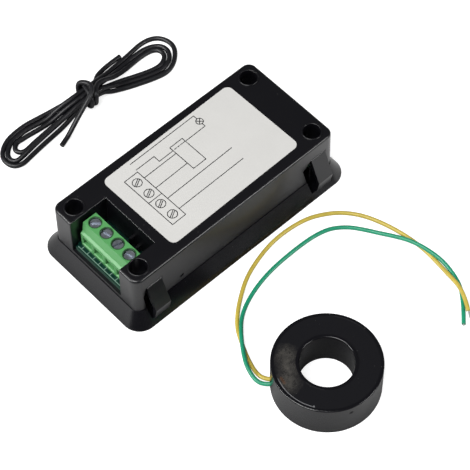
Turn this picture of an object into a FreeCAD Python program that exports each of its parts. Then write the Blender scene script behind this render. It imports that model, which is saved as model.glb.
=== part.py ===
import FreeCAD, Part
import math
import os
import Sketcher

# Digital power meter for a panel, with its current transformer and its spare lead.
# The meter lies on its front face: Z is 0 on the front plane and rises to the labelled back,
# X runs along the meter from the terminal end to the far end, and the origin is the middle
# of the front face. All sizes are millimetres.

Vector = FreeCAD.Vector

SIZES = {
    # rear housing; a text is worked out by the sheet from the sizes that it names
    "body_length": 80.3, "body_width": 38.0, "body_corner": 2.8, "body_height": 21.35,
    "draft": 0.1, "back_length": "=body_length - 2 * draft", "back_width": "=body_width - 2 * draft",
    "back_round": 0.9, "side_wall": 1.9, "back_wall": 2.0, "inner_corner": 1.2,
    "inner_length": "=body_length - 2 * side_wall", "inner_width": "=body_width - 2 * side_wall",
    # front bezel
    "lip_x": 3.45, "lip_y": 3.65, "bezel_corner": 5.8, "rim_height": 0.6,
    "bezel_length": "=body_length + 2 * lip_x", "bezel_width": "=body_width + 2 * lip_y",
    "seat_height": 6.0, "seat_ledge": 0.2, "seat_corner": 3.0,
    "seat_length": "=body_length + 2 * seat_ledge", "seat_width": "=body_width + 2 * seat_ledge",
    "front_wall": 1.8, "front_round": 0.35,
    # the four deep screw wells and their screws
    "well_inset": 5.0, "well_near_shift": 0.6,
    "well_bore": 5.5, "well_tube": 7.0, "well_outer": 6.4, "well_bead": 0.3, "well_floor": 10.6,
    "screw_hole": 2.8, "boss_diameter": 4.4, "pilot_hole": 2.2,
    "case_head": 4.4, "case_head_height": 1.8, "case_shank": 2.4, "case_shank_length": 7.0,
    "cross_reach": 1.3, "cross_blade": 0.32, "cross_depth": 1.0,
    # terminal block
    "pitch": 5.08, "block_inset": 6.7, "block_y": -0.95, "block_height": 10.5,
    "block_x": "=-body_length / 2 + block_inset",
    "block_top_front": 2.5, "block_top_rear": 2.45, "block_neck": 3.15, "block_front": 3.9,
    "block_rear": 3.65, "ledge_height": 6.1, "neck_height": 6.7,
    "screw_bore": 3.7, "screw_recess": 0.6, "screw_head": 3.4, "head_height": 1.2,
    "shank_diameter": 2.4, "shank_length": 4.2, "slot_width": 0.8, "slot_depth": 0.7,
    "chamber_floor": 1.0, "chamber_length": 4.8, "chamber_width": 3.8, "chamber_height": 6.5,
    "cage_length": 4.5, "cage_width": 3.5, "cage_height": 5.0, "cage_roof": 1.3, "cage_floor": 1.0,
    "cage_side": 0.5, "entry_width": 3.8, "entry_height": 3.3, "entry_sill": 0.2, "entry_flare": 0.25,
    "contact_width": 2.3, "contact_thickness": 0.7,
    # terminal bay, open at the back and above a sill at the end
    "bay_depth": 14.05, "bay_far": "=-body_length / 2 + bay_depth", "bay_wall": 1.2, "bay_round": 0.25,
    "bay_left": "=block_y + 2 * pitch + 1.09", "bay_right": "=block_y - 2 * pitch - 0.29",
    # printed circuit board
    "board_bottom": 7.5, "board_thickness": 1.6, "board_end_gap": 0.3, "board_side_gap": 1.2,
    "board_length": "=inner_length - 2 * board_end_gap", "board_width": "=inner_width - 2 * board_side_gap",
    "tongue_inset": 1.0, "board_tongue": "=-body_length / 2 + tongue_inset", "board_gap": 0.3,
    # snap latches
    "latch_inset": 6.95, "latch_x": "=body_length / 2 - latch_inset",
    "latch_width": 5.7, "latch_root": 15.3, "latch_thick": 1.2,
    "latch_bend_out": 3.8, "latch_bend_height": 7.4, "latch_tip_out": 2.9, "latch_tip_height": 2.7,
    # display side
    "window_x": -3.2, "window_end_inset": 12.65, "window_side_inset": 4.5, "window_corner": 1.6,
    "window_length": "=body_length - 2 * window_end_inset",
    "window_width": "=body_width - 2 * window_side_inset",
    "lens_flange": 1.4, "lens_flange_height": 0.8, "glass_inset": 0.5, "glass_thickness": 1.6,
    "glass_length": "=window_length - 2 * glass_inset", "glass_width": "=window_width - 2 * glass_inset",
    "button_x": "=latch_x", "button_diameter": 6.8, "button_hole": 7.0, "button_front": 0.3,
    "button_flange": 8.4, "button_flange_height": 0.6, "button_stem": 3.0, "button_stem_height": 1.35,
    "switch_side": 6.0, "switch_height": 2.8, "plunger_diameter": 3.3, "plunger_height": 0.5,
    # label on the back
    "label_x": 2.95, "label_y": 0.2, "label_end_inset": 14.3, "label_side_inset": 3.35,
    "label_length": "=body_length - 2 * label_end_inset", "label_width": "=body_width - 2 * label_side_inset",
    "label_corner": 2.1, "label_thickness": 0.12, "label_turn": 0.95,
    # circuit parts on the board: places as shares of the board, then sizes
    "film_x": "=-0.13 * board_length", "film_y": "=0.29 * board_width",
    "film_length": 18.0, "film_width": 8.0, "film_height": 9.2, "film_edge": 0.5,
    "coil_x": "=0.105 * board_length", "coil_y": "=-0.29 * board_width",
    "coil_side": 9.0, "coil_height": 6.5, "coil_edge": 0.8,
    "storage_x": "=0.125 * board_length", "storage_y": "=0.27 * board_width",
    "storage_diameter": 8.0, "storage_height": 9.4,
    "filter_x": "=0.25 * board_length", "filter_y": "=0.29 * board_width",
    "filter_diameter": 6.3, "filter_height": 8.0, "crimp_height": 1.4, "crimp_radius": 0.3,
    "surge_x": "=-0.225 * board_length", "surge_y": "=-0.19 * board_width",
    "surge_diameter": 7.4, "surge_thickness": 4.0, "surge_stand": 1.4, "surge_leg": 0.8,
    "surge_leg_spacing": 5.0,
    "metering_x": "=0.33 * board_length", "metering_y": "=-0.19 * board_width",
    "metering_length": 10.3, "metering_width": 7.5, "metering_height": 2.3,
    "control_x": "=-0.026 * board_length", "control_y": "=-0.22 * board_width",
    "control_length": 9.9, "control_width": 3.9, "control_height": 1.5,
    "leg_pitch": 1.27, "leg_width": 0.4, "leg_reach": 1.4, "leg_height": 0.6,
    # current transformer
    "ring_x": -13.35, "ring_y": -71.0, "ring_outer": 16.4, "ring_bore": 8.1, "ring_height": 12.4,
    "ring_wall": 1.0, "ring_floor": 1.2, "ring_round": 0.4, "resin_recess": 0.12, "resin_depth": 1.9,
    "winding_thickness": 0.8,
    # leads
    "lead_diameter": 1.3, "strand_diameter": 0.7, "cord_diameter": 1.6, "cord_gap": 0.52,
    "waist_x": 3.5, "waist_y": 54.2, "waist_length": 7.8,
}

doc = FreeCAD.newDocument("power_meter")
sheet = doc.addObject("Spreadsheet::Sheet", "sizes")
for row, (alias, number) in enumerate(SIZES.items(), start=1):
    sheet.set(f"A{row}", alias)
    sheet.set(f"B{row}", str(number))
    sheet.setAlias(f"B{row}", alias)
doc.recompute()


class Size:
    """A dimension worked out from the sheet: its expression and its number."""

    def __init__(self, text, number):
        self.text = text
        self.number = number

    def joined(self, sign, other, number):
        other_text = other.text if isinstance(other, Size) else repr(float(other))
        return Size(f"({self.text} {sign} {other_text})", number)

    def __add__(self, other):
        return self.joined("+", other, self.number + number_of(other))

    def __sub__(self, other):
        return self.joined("-", other, self.number - number_of(other))

    def __mul__(self, other):
        return self.joined("*", other, self.number * number_of(other))

    def __truediv__(self, other):
        return self.joined("/", other, self.number / number_of(other))

    def __neg__(self):
        return Size(f"(0 - {self.text})", -self.number)


def number_of(value):
    return value.number if isinstance(value, Size) else float(value)


def cell(alias):
    return Size(f"sizes.{alias}", float(sheet.get(alias)))


def as_size(value):
    return value if isinstance(value, Size) else Size(repr(float(value)), float(value))


def bind(thing, path, value):
    thing.setExpression(path, as_size(value).text)


board_top = cell("board_bottom") + cell("board_thickness")
well_x = cell("body_length") / 2 - cell("well_inset")
well_y = cell("body_width") / 2 - cell("well_inset")
inner_top = cell("body_height") - cell("back_wall")
WELLS = [(-well_x, well_y), (well_x, well_y), (well_x, -well_y), (-well_x, -well_y - cell("well_near_shift"))]


# Sketch helpers

def new_body(label):
    body = doc.addObject("PartDesign::Body", label)
    body.Label = label
    return body


def origin_plane(body, role):
    return next(f for f in body.Origin.OriginFeatures if f.Role == role)


def new_sketch(body, name, role, offset=0.0):
    sketch = body.newObject("Sketcher::SketchObject", name)
    sketch.AttachmentSupport = [(origin_plane(body, role), "")]
    sketch.MapMode = "FlatFace"
    bind(sketch, "AttachmentOffset.Base.z", offset)
    return sketch


def pin_point(sketch, geometry, position, x, y):
    """Hold one point of a sketch at a place worked out from the sheet."""
    for kind, value in (("DistanceX", x), ("DistanceY", y)):
        if value is None:
            continue
        size = as_size(value)
        index = sketch.addConstraint(Sketcher.Constraint(kind, -1, 1, geometry, position, size.number))
        sketch.setExpression(f"Constraints[{index}]", size.text)


def draw_polygon(sketch, points):
    """A closed outline of straight lines; each corner is a pair of sizes."""
    flat = [Vector(number_of(x), number_of(y), 0) for x, y in points]
    first = sketch.GeometryCount
    count = len(flat)
    for index, start in enumerate(flat):
        sketch.addGeometry(Part.LineSegment(start, flat[(index + 1) % count]), False)
    for index in range(count):
        following = first + (index + 1) % count
        sketch.addConstraint(Sketcher.Constraint("Coincident", first + index, 2, following, 1))
    for index, (x, y) in enumerate(points):
        pin_point(sketch, first + index, 1, x, y)


def draw_circle(sketch, x, y, diameter):
    centre = Vector(number_of(x), number_of(y), 0)
    radius = as_size(diameter) / 2
    geometry = sketch.addGeometry(Part.Circle(centre, Vector(0, 0, 1), radius.number), False)
    pin_point(sketch, geometry, 3, x, y)
    index = sketch.addConstraint(Sketcher.Constraint("Radius", geometry, radius.number))
    sketch.setExpression(f"Constraints[{index}]", radius.text)


def draw_rounded(sketch, x0, x1, y0, y1, corner):
    """A rectangle with round corners between two X and two Y places."""
    a, b, c, d = (number_of(v) for v in (x0, x1, y0, y1))
    radius = as_size(corner)
    r = radius.number
    first = sketch.GeometryCount
    sides = [((a + r, c), (b - r, c)), ((b, c + r), (b, d - r)),
             ((b - r, d), (a + r, d)), ((a, d - r), (a, c + r))]
    centres = [(b - r, c + r, 1.5), (b - r, d - r, 0.0), (a + r, d - r, 0.5), (a + r, c + r, 1.0)]
    for (start, end), (cx, cy, turn) in zip(sides, centres):
        sketch.addGeometry(Part.LineSegment(Vector(*start, 0), Vector(*end, 0)), False)
        circle = Part.Circle(Vector(cx, cy, 0), Vector(0, 0, 1), r)
        sketch.addGeometry(Part.ArcOfCircle(circle, turn * math.pi, (turn + 0.5) * math.pi), False)
    for index in range(8):
        following = first + (index + 1) % 8
        sketch.addConstraint(Sketcher.Constraint("Tangent", first + index, 2, following, 1))
    for index in (0, 4):
        sketch.addConstraint(Sketcher.Constraint("Horizontal", first + index))
    for index in (2, 6):
        sketch.addConstraint(Sketcher.Constraint("Vertical", first + index))
    for index in (3, 5, 7):
        sketch.addConstraint(Sketcher.Constraint("Equal", first + 1, first + index))
    index = sketch.addConstraint(Sketcher.Constraint("Radius", first + 1, r))
    sketch.setExpression(f"Constraints[{index}]", radius.text)
    pin_point(sketch, first, 1, None, y0)
    pin_point(sketch, first + 2, 1, x1, None)
    pin_point(sketch, first + 4, 1, None, y1)
    pin_point(sketch, first + 6, 1, x0, None)


def centred(sketch, length, width, corner, x=0.0, y=0.0):
    x, y = as_size(x), as_size(y)
    draw_rounded(sketch, x - length / 2, x + length / 2, y - width / 2, y + width / 2, corner)


def pad(body, sketch, length, name, backwards=False):
    feature = body.newObject("PartDesign::Pad", name)
    feature.Profile = sketch
    bind(feature, "Length", length)
    feature.Reversed = backwards
    return feature


def pocket(body, sketch, length, name, backwards=False):
    """Cut a profile away, and make sure that the cut removes material."""
    doc.recompute()
    before = body.Shape.Volume
    feature = body.newObject("PartDesign::Pocket", name)
    feature.Profile = sketch
    bind(feature, "Length", length)
    feature.Reversed = backwards
    doc.recompute()
    if not feature.isValid() or feature.Shape.Volume >= before - 1e-6:
        raise RuntimeError(f"{name} cuts nothing")
    return feature


def edges_where(shape, test):
    return [f"Edge{i}" for i, edge in enumerate(shape.Edges, start=1) if test(edge)]


def dress(body, kind, name, edges, size):
    """A fillet or chamfer on the named edges of the body's tip."""
    tip = body.Tip
    feature = body.newObject(f"PartDesign::{kind}", name)
    feature.Base = (tip, edges)
    bind(feature, "Radius" if kind == "Fillet" else "Size", size)
    doc.recompute()
    return feature


def at_height(z, tolerance=1e-4):
    return lambda edge: (abs(edge.BoundBox.ZMin - z) < tolerance and abs(edge.BoundBox.ZMax - z) < tolerance)


def box(name, x, y, z, length, width, height):
    """A block centred on X and Y, standing on Z."""
    thing = doc.addObject("Part::Box", name)
    for prop, value in (("Length", length), ("Width", width), ("Height", height)):
        bind(thing, prop, value)
    bind(thing, "Placement.Base.x", as_size(x) - as_size(length) / 2)
    bind(thing, "Placement.Base.y", as_size(y) - as_size(width) / 2)
    bind(thing, "Placement.Base.z", z)
    return thing


def cylinder(name, x, y, z, diameter, height):
    thing = doc.addObject("Part::Cylinder", name)
    bind(thing, "Radius", as_size(diameter) / 2)
    bind(thing, "Height", height)
    for axis, value in (("x", x), ("y", y), ("z", z)):
        bind(thing, f"Placement.Base.{axis}", value)
    return thing


def fused(name, *things):
    thing = doc.addObject("Part::MultiFuse", name)
    thing.Shapes = list(things)
    thing.Refine = True
    return thing


def cut(name, base, *tools):
    tool = tools[0] if len(tools) == 1 else fused(f"{name}_tools", *tools)
    thing = doc.addObject("Part::Cut", name)
    thing.Base = base
    thing.Tool = tool
    return thing


nodes = []


def keep(thing, label):
    thing.Label = label
    nodes.append(thing)
    return thing


def place(thing, x, y, z):
    for axis, value in (("x", x), ("y", y), ("z", z)):
        bind(thing, f"Placement.Base.{axis}", value)


# Latch windows: the opening of each wall and the notch below it, in X and Z.
# The gap beside the tab is narrow at the terminal end and wide at the far end.

LATCH_GAPS = {-1: 1.3, 1: 3.1}
LATCH_SHOULDER = {-1: 3.4, 1: 2.2}
LATCH_LEAN = 0.45
LATCH_SIDE_GAP = 0.35
NOTCH_FLOOR = 1.9
SEAT = cell("seat_height")


def window_outline(end, bottom):
    """Corners of one latch window, with its slanted upper corner."""
    half = cell("latch_width") / 2
    middle = cell("latch_x") * end
    gap = LATCH_GAPS[end]
    top = cell("latch_root") + cell("latch_thick") / 2 + 0.1
    near = middle - half - gap
    foot = near + gap * LATCH_LEAN
    side = [(foot, bottom)] if bottom is SEAT else [(foot, bottom), (foot, SEAT)]
    return side + [
        (near - gap * 0.1, cell("latch_root") - LATCH_SHOULDER[end]), (near + gap - 0.3, top),
        (middle + half + LATCH_SIDE_GAP, top), (middle + half + LATCH_SIDE_GAP, bottom)]


def latch_windows(body, side, bottom, inward, outward, name):
    """Cut both windows of one long side through the wall, between two Y places."""
    sketch = new_sketch(body, f"{name}_outline", "XZ_Plane", outward * -side)
    for end in LATCH_GAPS:
        draw_polygon(sketch, window_outline(end, bottom))
    pocket(body, sketch, outward - inward, name, backwards=(side > 0))


# Front bezel: a shallow tray whose flanks widen from the seat to the thin front rim

bezel = new_body("front_bezel")
sketch = new_sketch(bezel, "bezel_rim", "XY_Plane")
centred(sketch, cell("bezel_length"), cell("bezel_width"), cell("bezel_corner"))
pad(bezel, sketch, cell("rim_height"), "rim")
loft_low = new_sketch(bezel, "flank_low", "XY_Plane", cell("rim_height"))
centred(loft_low, cell("bezel_length"), cell("bezel_width"), cell("bezel_corner"))
loft_high = new_sketch(bezel, "flank_high", "XY_Plane", cell("seat_height"))
centred(loft_high, cell("seat_length"), cell("seat_width"), cell("seat_corner"))
flank = bezel.newObject("PartDesign::AdditiveLoft", "flank")
flank.Profile = loft_low
flank.Sections = [loft_high]
flank.Ruled = True
doc.recompute()
dress(bezel, "Fillet", "front_edge", edges_where(bezel.Shape, at_height(0.0)), cell("front_round"))
sketch = new_sketch(bezel, "tray_outline", "XY_Plane", cell("seat_height"))
centred(sketch, cell("inner_length"), cell("inner_width"), cell("inner_corner"))
pocket(bezel, sketch, cell("seat_height") - cell("front_wall"), "tray")
sketch = new_sketch(bezel, "boss_outline", "XY_Plane", cell("front_wall") - 0.2)
for x, y in WELLS:
    draw_circle(sketch, x, y, cell("boss_diameter"))
pad(bezel, sketch, cell("board_bottom") - cell("front_wall") + 0.2, "bosses")
sketch = new_sketch(bezel, "pilot_outline", "XY_Plane", cell("board_bottom"))
for x, y in WELLS:
    draw_circle(sketch, x, y, cell("pilot_hole"))
pocket(bezel, sketch, cell("board_bottom") - cell("front_wall") - 0.2, "pilot_holes")
sketch = new_sketch(bezel, "window_outline", "XY_Plane")
centred(sketch, cell("window_length"), cell("window_width"), cell("window_corner"), cell("window_x"))
draw_circle(sketch, cell("button_x"), 0.0, cell("button_hole"))
pocket(bezel, sketch, cell("front_wall"), "front_openings", backwards=True)
flank_out = cell("bezel_width") / 2 - 1.2
for side, name in ((-1, "near_notches"), (1, "far_notches")):
    latch_windows(bezel, side, as_size(NOTCH_FLOOR), cell("inner_width") / 2 - 0.3, flank_out, name)
keep(bezel, "front_bezel")


# Rear housing: drafted shell, terminal bay open at the back and the end, wells and latch windows

housing = new_body("rear_housing")
low = new_sketch(housing, "shell_low", "XY_Plane", cell("seat_height"))
centred(low, cell("body_length"), cell("body_width"), cell("body_corner"))
high = new_sketch(housing, "shell_high", "XY_Plane", cell("body_height"))
centred(high, cell("back_length"), cell("back_width"), cell("body_corner"))
shell = housing.newObject("PartDesign::AdditiveLoft", "shell")
shell.Profile = low
shell.Sections = [high]
shell.Ruled = True
doc.recompute()
sketch = new_sketch(housing, "cavity_outline", "XY_Plane", cell("seat_height"))
centred(sketch, cell("inner_length"), cell("inner_width"), cell("inner_corner"))
pocket(housing, sketch, inner_top - cell("seat_height"), "cavity", backwards=True)
partition_bottom = board_top + cell("board_gap")
sketch = new_sketch(housing, "partition_outline", "XY_Plane", partition_bottom)
draw_polygon(sketch, [
    (-cell("body_length") / 2 + 1.0, cell("bay_right") - cell("bay_wall")),
    (cell("bay_far") + cell("bay_wall"), cell("bay_right") - cell("bay_wall")),
    (cell("bay_far") + cell("bay_wall"), cell("bay_left") + cell("bay_wall")),
    (-cell("body_length") / 2 + 1.0, cell("bay_left") + cell("bay_wall"))])
pad(housing, sketch, inner_top - partition_bottom + 0.5, "partition")
sketch = new_sketch(housing, "well_outline", "XY_Plane", board_top)
for x, y in WELLS:
    draw_circle(sketch, x, y, cell("well_tube"))
pad(housing, sketch, inner_top - board_top + 0.5, "well_tubes")
sketch = new_sketch(housing, "bay_outline", "XY_Plane", cell("body_height"))
draw_polygon(sketch, [
    (-cell("body_length") / 2 - 1.0, cell("bay_right")), (cell("bay_far"), cell("bay_right")),
    (cell("bay_far"), cell("bay_left")), (-cell("body_length") / 2 - 1.0, cell("bay_left"))])
pocket(housing, sketch, cell("body_height") - cell("board_bottom"), "terminal_bay")
dress(housing, "Fillet", "back_edge", edges_where(housing.Shape, lambda edge: (
    at_height(cell("body_height").number)(edge)
    and (abs(edge.CenterOfMass.x) > cell("back_length").number / 2 - 2.0
         or abs(edge.CenterOfMass.y) > cell("back_width").number / 2 - 2.0))), cell("back_round"))
bay_sides = (cell("bay_left").number, cell("bay_right").number)
bay_end = cell("bay_far").number
dress(housing, "Fillet", "bay_edge", edges_where(housing.Shape, lambda edge: (
    at_height(cell("body_height").number)(edge) and edge.CenterOfMass.x < bay_end + 0.01
    and (min(abs(edge.CenterOfMass.y - y) for y in bay_sides) < 0.01
         or abs(edge.CenterOfMass.x - bay_end) < 0.01))), cell("bay_round"))
sketch = new_sketch(housing, "bead_outline", "XY_Plane", cell("body_height") - 0.3)
for x, y in WELLS:
    draw_circle(sketch, x, y, cell("well_outer"))
pad(housing, sketch, cell("well_bead") + 0.3, "beads")
sketch = new_sketch(housing, "well_bores_outline", "XY_Plane", cell("body_height") + cell("well_bead"))
for x, y in WELLS:
    draw_circle(sketch, x, y, cell("well_bore"))
pocket(housing, sketch, cell("body_height") + cell("well_bead") - cell("well_floor"), "well_bores")
sketch = new_sketch(housing, "screw_holes_outline", "XY_Plane", cell("well_floor"))
for x, y in WELLS:
    draw_circle(sketch, x, y, cell("screw_hole"))
pocket(housing, sketch, cell("well_floor") - board_top, "screw_holes")
bead_top = (cell("body_height") + cell("well_bead")).number
bead_edges = edges_where(housing.Shape, at_height(bead_top))
dress(housing, "Fillet", "well_beads", bead_edges, cell("well_bead") * 0.6)
for side, name in ((-1, "near_windows"), (1, "far_windows")):
    latch_windows(housing, side, SEAT, cell("inner_width") / 2 - 0.1,
                  cell("body_width") / 2 + 0.5, name)
sketch = new_sketch(housing, "bay_ribs_outline", "YZ_Plane", cell("bay_far") + 0.2)
for y, top in ((-1.9, 14.6), (-4.3, 12.2)):
    draw_polygon(sketch, [
        (y - 0.4, partition_bottom), (y + 0.4, partition_bottom), (y + 0.4, top), (y - 0.4, top)])
pad(housing, sketch, 1.9, "bay_ribs", backwards=True)
sketch = new_sketch(housing, "gate_mark_outline", "XZ_Plane", cell("body_width") / 2 - 0.35)
draw_circle(sketch, -22.6, 8.6, 1.5)
pocket(housing, sketch, 1.0, "gate_mark", backwards=True)
keep(housing, "rear_housing")


# Printed circuit board, with the tongue that shows at the open end of the bay

board = new_body("main_board")
sketch = new_sketch(board, "board_outline", "XY_Plane", cell("board_bottom"))
edge_x = cell("board_length") / 2
edge_y = cell("board_width") / 2
tongue_right = cell("bay_right") + 0.35
tongue_left = cell("bay_left") - 0.35
draw_polygon(sketch, [
    (-edge_x, -edge_y), (edge_x, -edge_y), (edge_x, edge_y), (-edge_x, edge_y), (-edge_x, tongue_left),
    (cell("board_tongue"), tongue_left), (cell("board_tongue"), tongue_right), (-edge_x, tongue_right)])
pad(board, sketch, cell("board_thickness"), "board_plate")
sketch = new_sketch(board, "board_holes_outline", "XY_Plane", board_top)
for x, y in WELLS:
    draw_circle(sketch, x, y, cell("screw_hole"))
pocket(board, sketch, cell("board_thickness"), "board_holes")
keep(board, "main_board")


# Terminal block: four poles, each with a screw bore, a cage chamber and a flared wire entry

poles = [cell("block_y") + cell("pitch") * (1.5 - index) for index in range(4)]
block_x = cell("block_x")
chamber_bottom = board_top + cell("chamber_floor")
chamber_top = chamber_bottom + cell("chamber_height")
head_seat = board_top + cell("block_height") - cell("screw_recess") - cell("head_height")

block = new_body("terminal_block")
sketch = new_sketch(block, "block_profile", "XZ_Plane", -(cell("block_y") - cell("pitch") * 2))
draw_polygon(sketch, [
    (block_x - cell("block_front"), board_top),
    (block_x + cell("block_rear"), board_top),
    (block_x + cell("block_rear"), board_top + cell("ledge_height")),
    (block_x + cell("block_top_rear"), board_top + cell("neck_height")),
    (block_x + cell("block_top_rear"), board_top + cell("block_height")),
    (block_x - cell("block_top_front"), board_top + cell("block_height")),
    (block_x - cell("block_neck"), board_top + cell("neck_height")),
    (block_x - cell("block_front"), board_top + cell("ledge_height"))])
pad(block, sketch, cell("pitch") * 4, "block_body", backwards=True)
block_top = board_top + cell("block_height")
sketch = new_sketch(block, "screw_bores_outline", "XY_Plane", block_top)
for y in poles:
    draw_circle(sketch, block_x, y, cell("screw_bore"))
pocket(block, sketch, block_top - head_seat, "screw_bores")
sketch = new_sketch(block, "shank_holes_outline", "XY_Plane", head_seat)
for y in poles:
    draw_circle(sketch, block_x, y, cell("shank_diameter") + 0.2)
pocket(block, sketch, head_seat - chamber_top + 0.2, "shank_holes")
for index, y in enumerate(poles, start=1):
    sketch = new_sketch(block, f"chamber_{index}_outline", "XZ_Plane", -(y - cell("chamber_width") / 2))
    draw_polygon(sketch, [
        (block_x - cell("chamber_length") / 2, chamber_bottom),
        (block_x + cell("chamber_length") / 2, chamber_bottom),
        (block_x + cell("chamber_length") / 2, chamber_top),
        (block_x - cell("chamber_length") / 2, chamber_top)])
    pocket(block, sketch, cell("chamber_width"), f"chamber_{index}")
sketch = new_sketch(block, "entries_outline", "YZ_Plane", block_x - cell("block_front"))
entry_low = chamber_bottom + cell("entry_sill")
for y in poles:
    half = cell("entry_width") / 2
    draw_polygon(sketch, [
        (y - half, entry_low), (y + half, entry_low),
        (y + half, entry_low + cell("entry_height")), (y - half, entry_low + cell("entry_height"))])
pocket(block, sketch, cell("block_front") - cell("chamber_length") / 2 + 0.3, "entries", backwards=True)
front_x = (block_x - cell("block_front")).number
entry_edges = edges_where(block.Shape, lambda edge: (
    abs(edge.BoundBox.XMin - front_x) < 1e-4 and abs(edge.BoundBox.XMax - front_x) < 1e-4
    and edge.BoundBox.ZMin > entry_low.number - 0.01
    and edge.BoundBox.ZMax < (entry_low + cell("entry_height")).number + 0.01
    and edge.Length < 4.0))
dress(block, "Chamfer", "entry_funnels", entry_edges, cell("entry_flare"))
sketch = new_sketch(block, "contact_slots_outline", "XY_Plane", board_top)
contact_x = block_x + cell("chamber_length") / 2 + 0.35
for y in poles:
    half = cell("contact_width") / 2 + 0.05
    draw_polygon(sketch, [
        (block_x + cell("chamber_length") / 2 - 0.3, y - half), (contact_x + 0.4, y - half),
        (contact_x + 0.4, y + half), (block_x + cell("chamber_length") / 2 - 0.3, y + half)])
bar_top = chamber_bottom + cell("cage_height") - cell("cage_roof") - 0.3
pocket(block, sketch, bar_top - board_top + 0.2, "contact_slots", backwards=True)
keep(block, "terminal_block")


# The moving parts and contact of each pole

SLOT_TURNS = (-43.0, -77.0, -14.0, -77.0)


def terminal_screw(index, y, turn):
    body = new_body(f"terminal_screw_{index}")
    sketch = new_sketch(body, f"head_{index}_outline", "XY_Plane")
    draw_circle(sketch, 0.0, 0.0, cell("screw_head"))
    pad(body, sketch, cell("head_height"), f"head_{index}")
    sketch = new_sketch(body, f"shank_{index}_outline", "XY_Plane")
    draw_circle(sketch, 0.0, 0.0, cell("shank_diameter"))
    pad(body, sketch, cell("shank_length"), f"shank_{index}", backwards=True)
    sketch = new_sketch(body, f"slot_{index}_outline", "XY_Plane", cell("head_height"))
    draw_polygon(sketch, [
        (-2.0, -cell("slot_width") / 2), (2.0, -cell("slot_width") / 2),
        (2.0, cell("slot_width") / 2), (-2.0, cell("slot_width") / 2)])
    pocket(body, sketch, cell("slot_depth"), f"slot_{index}")
    body.Placement = FreeCAD.Placement(Vector(), FreeCAD.Rotation(Vector(0, 0, 1), turn))
    place(body, block_x, y, head_seat)
    keep(body, f"terminal_screw_{index}")


def terminal_cage(index, y):
    """The clamp that the screw draws up against the contact bar."""
    outer = box(f"cage_outer_{index}", block_x, y, chamber_bottom + 0.05,
                cell("cage_length"), cell("cage_width"), cell("cage_height"))
    window = box(f"cage_window_{index}", block_x, y, chamber_bottom + 0.05 + cell("cage_floor"),
                 cell("cage_length") + 1.0, cell("cage_width") - cell("cage_side") * 2,
                 cell("cage_height") - cell("cage_floor") - cell("cage_roof"))
    thread = cylinder(f"cage_thread_{index}", block_x, y,
                      chamber_bottom + cell("cage_height") - cell("cage_roof") - 0.5,
                      cell("shank_diameter") + 0.1, cell("cage_roof") + 1.0)
    keep(cut(f"cage_{index}", outer, window, thread), f"terminal_cage_{index}")


def terminal_contact(index, y):
    """An angle of tinned copper: the bar inside the cage and the pin into the board."""
    thickness = cell("contact_thickness")
    bar_left = block_x - cell("cage_length") / 2
    bar = box(f"contact_bar_{index}", (bar_left + contact_x + thickness / 2) / 2, y, bar_top - thickness,
              contact_x + thickness / 2 - bar_left, cell("contact_width"), thickness)
    leg = box(f"contact_leg_{index}", contact_x, y, board_top,
              thickness, cell("contact_width"), bar_top - board_top)
    keep(fused(f"contact_{index}", bar, leg), f"terminal_contact_{index}")


for index, (y, turn) in enumerate(zip(poles, SLOT_TURNS), start=1):
    terminal_screw(index, y, turn)
    terminal_cage(index, y)
    terminal_contact(index, y)


# Case screws at the bottom of the four wells

for index, (x, y) in enumerate(WELLS, start=1):
    body = new_body(f"case_screw_{index}")
    sketch = new_sketch(body, f"case_head_{index}_outline", "XY_Plane")
    draw_circle(sketch, 0.0, 0.0, cell("case_head"))
    pad(body, sketch, cell("case_head_height"), f"case_head_{index}")
    sketch = new_sketch(body, f"case_shank_{index}_outline", "XY_Plane")
    draw_circle(sketch, 0.0, 0.0, cell("case_shank"))
    pad(body, sketch, cell("case_shank_length"), f"case_shank_{index}", backwards=True)
    sketch = new_sketch(body, f"case_cross_{index}_outline", "XY_Plane", cell("case_head_height"))
    arm = cell("cross_reach")
    blade = cell("cross_blade")
    draw_polygon(sketch, [
        (-arm, -blade), (-blade, -blade), (-blade, -arm), (blade, -arm), (blade, -blade), (arm, -blade),
        (arm, blade), (blade, blade), (blade, arm), (-blade, arm), (-blade, blade), (-arm, blade)])
    pocket(body, sketch, cell("cross_depth"), f"case_cross_{index}")
    place(body, x, y, cell("well_floor"))
    keep(body, f"case_screw_{index}")


# Snap latches: bowed tabs that hinge at their root in the wall windows

def snap_latch(index, end, side):
    body = new_body(f"snap_latch_{index}")
    middle = cell("latch_x") * end
    sketch = new_sketch(body, f"latch_{index}_profile", "YZ_Plane", middle - cell("latch_width") / 2)
    wall = cell("body_width") / 2
    thick = cell("latch_thick")
    root = cell("latch_root")
    outline = [
        (wall - 0.02, root + thick / 2), (wall + cell("latch_bend_out"), cell("latch_bend_height")),
        (wall + cell("latch_tip_out"), cell("latch_tip_height")),
        (wall + cell("latch_tip_out") - 0.9, cell("latch_tip_height")),
        (wall + cell("latch_bend_out") - thick * 1.12, cell("latch_bend_height") + 0.2),
        (wall - thick, root - thick / 2), (wall - thick, root + thick / 2)]
    draw_polygon(sketch, [(y * side, z) for y, z in outline])
    pad(body, sketch, cell("latch_width"), f"latch_{index}_tab")
    doc.recompute()
    top_edges = edges_where(body.Shape, at_height((root + thick / 2).number))
    long_edges = [name for name in top_edges
                  if body.Shape.getElement(name).Length > cell("latch_width").number - 0.01]
    dress(body, "Fillet", f"latch_{index}_root", long_edges, thick * 0.45)
    bend = edges_where(body.Shape, lambda edge: (
        abs(abs(edge.CenterOfMass.y) - (wall + cell("latch_bend_out")).number) < 0.01
        and edge.Length > cell("latch_width").number - 0.01))
    dress(body, "Fillet", f"latch_{index}_bend", bend, 0.5)
    keep(body, f"snap_latch_{index}")


for index, (end, side) in enumerate(((-1, -1), (1, -1), (1, 1), (-1, 1)), start=1):
    snap_latch(index, end, side)


# Display, button and label

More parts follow.
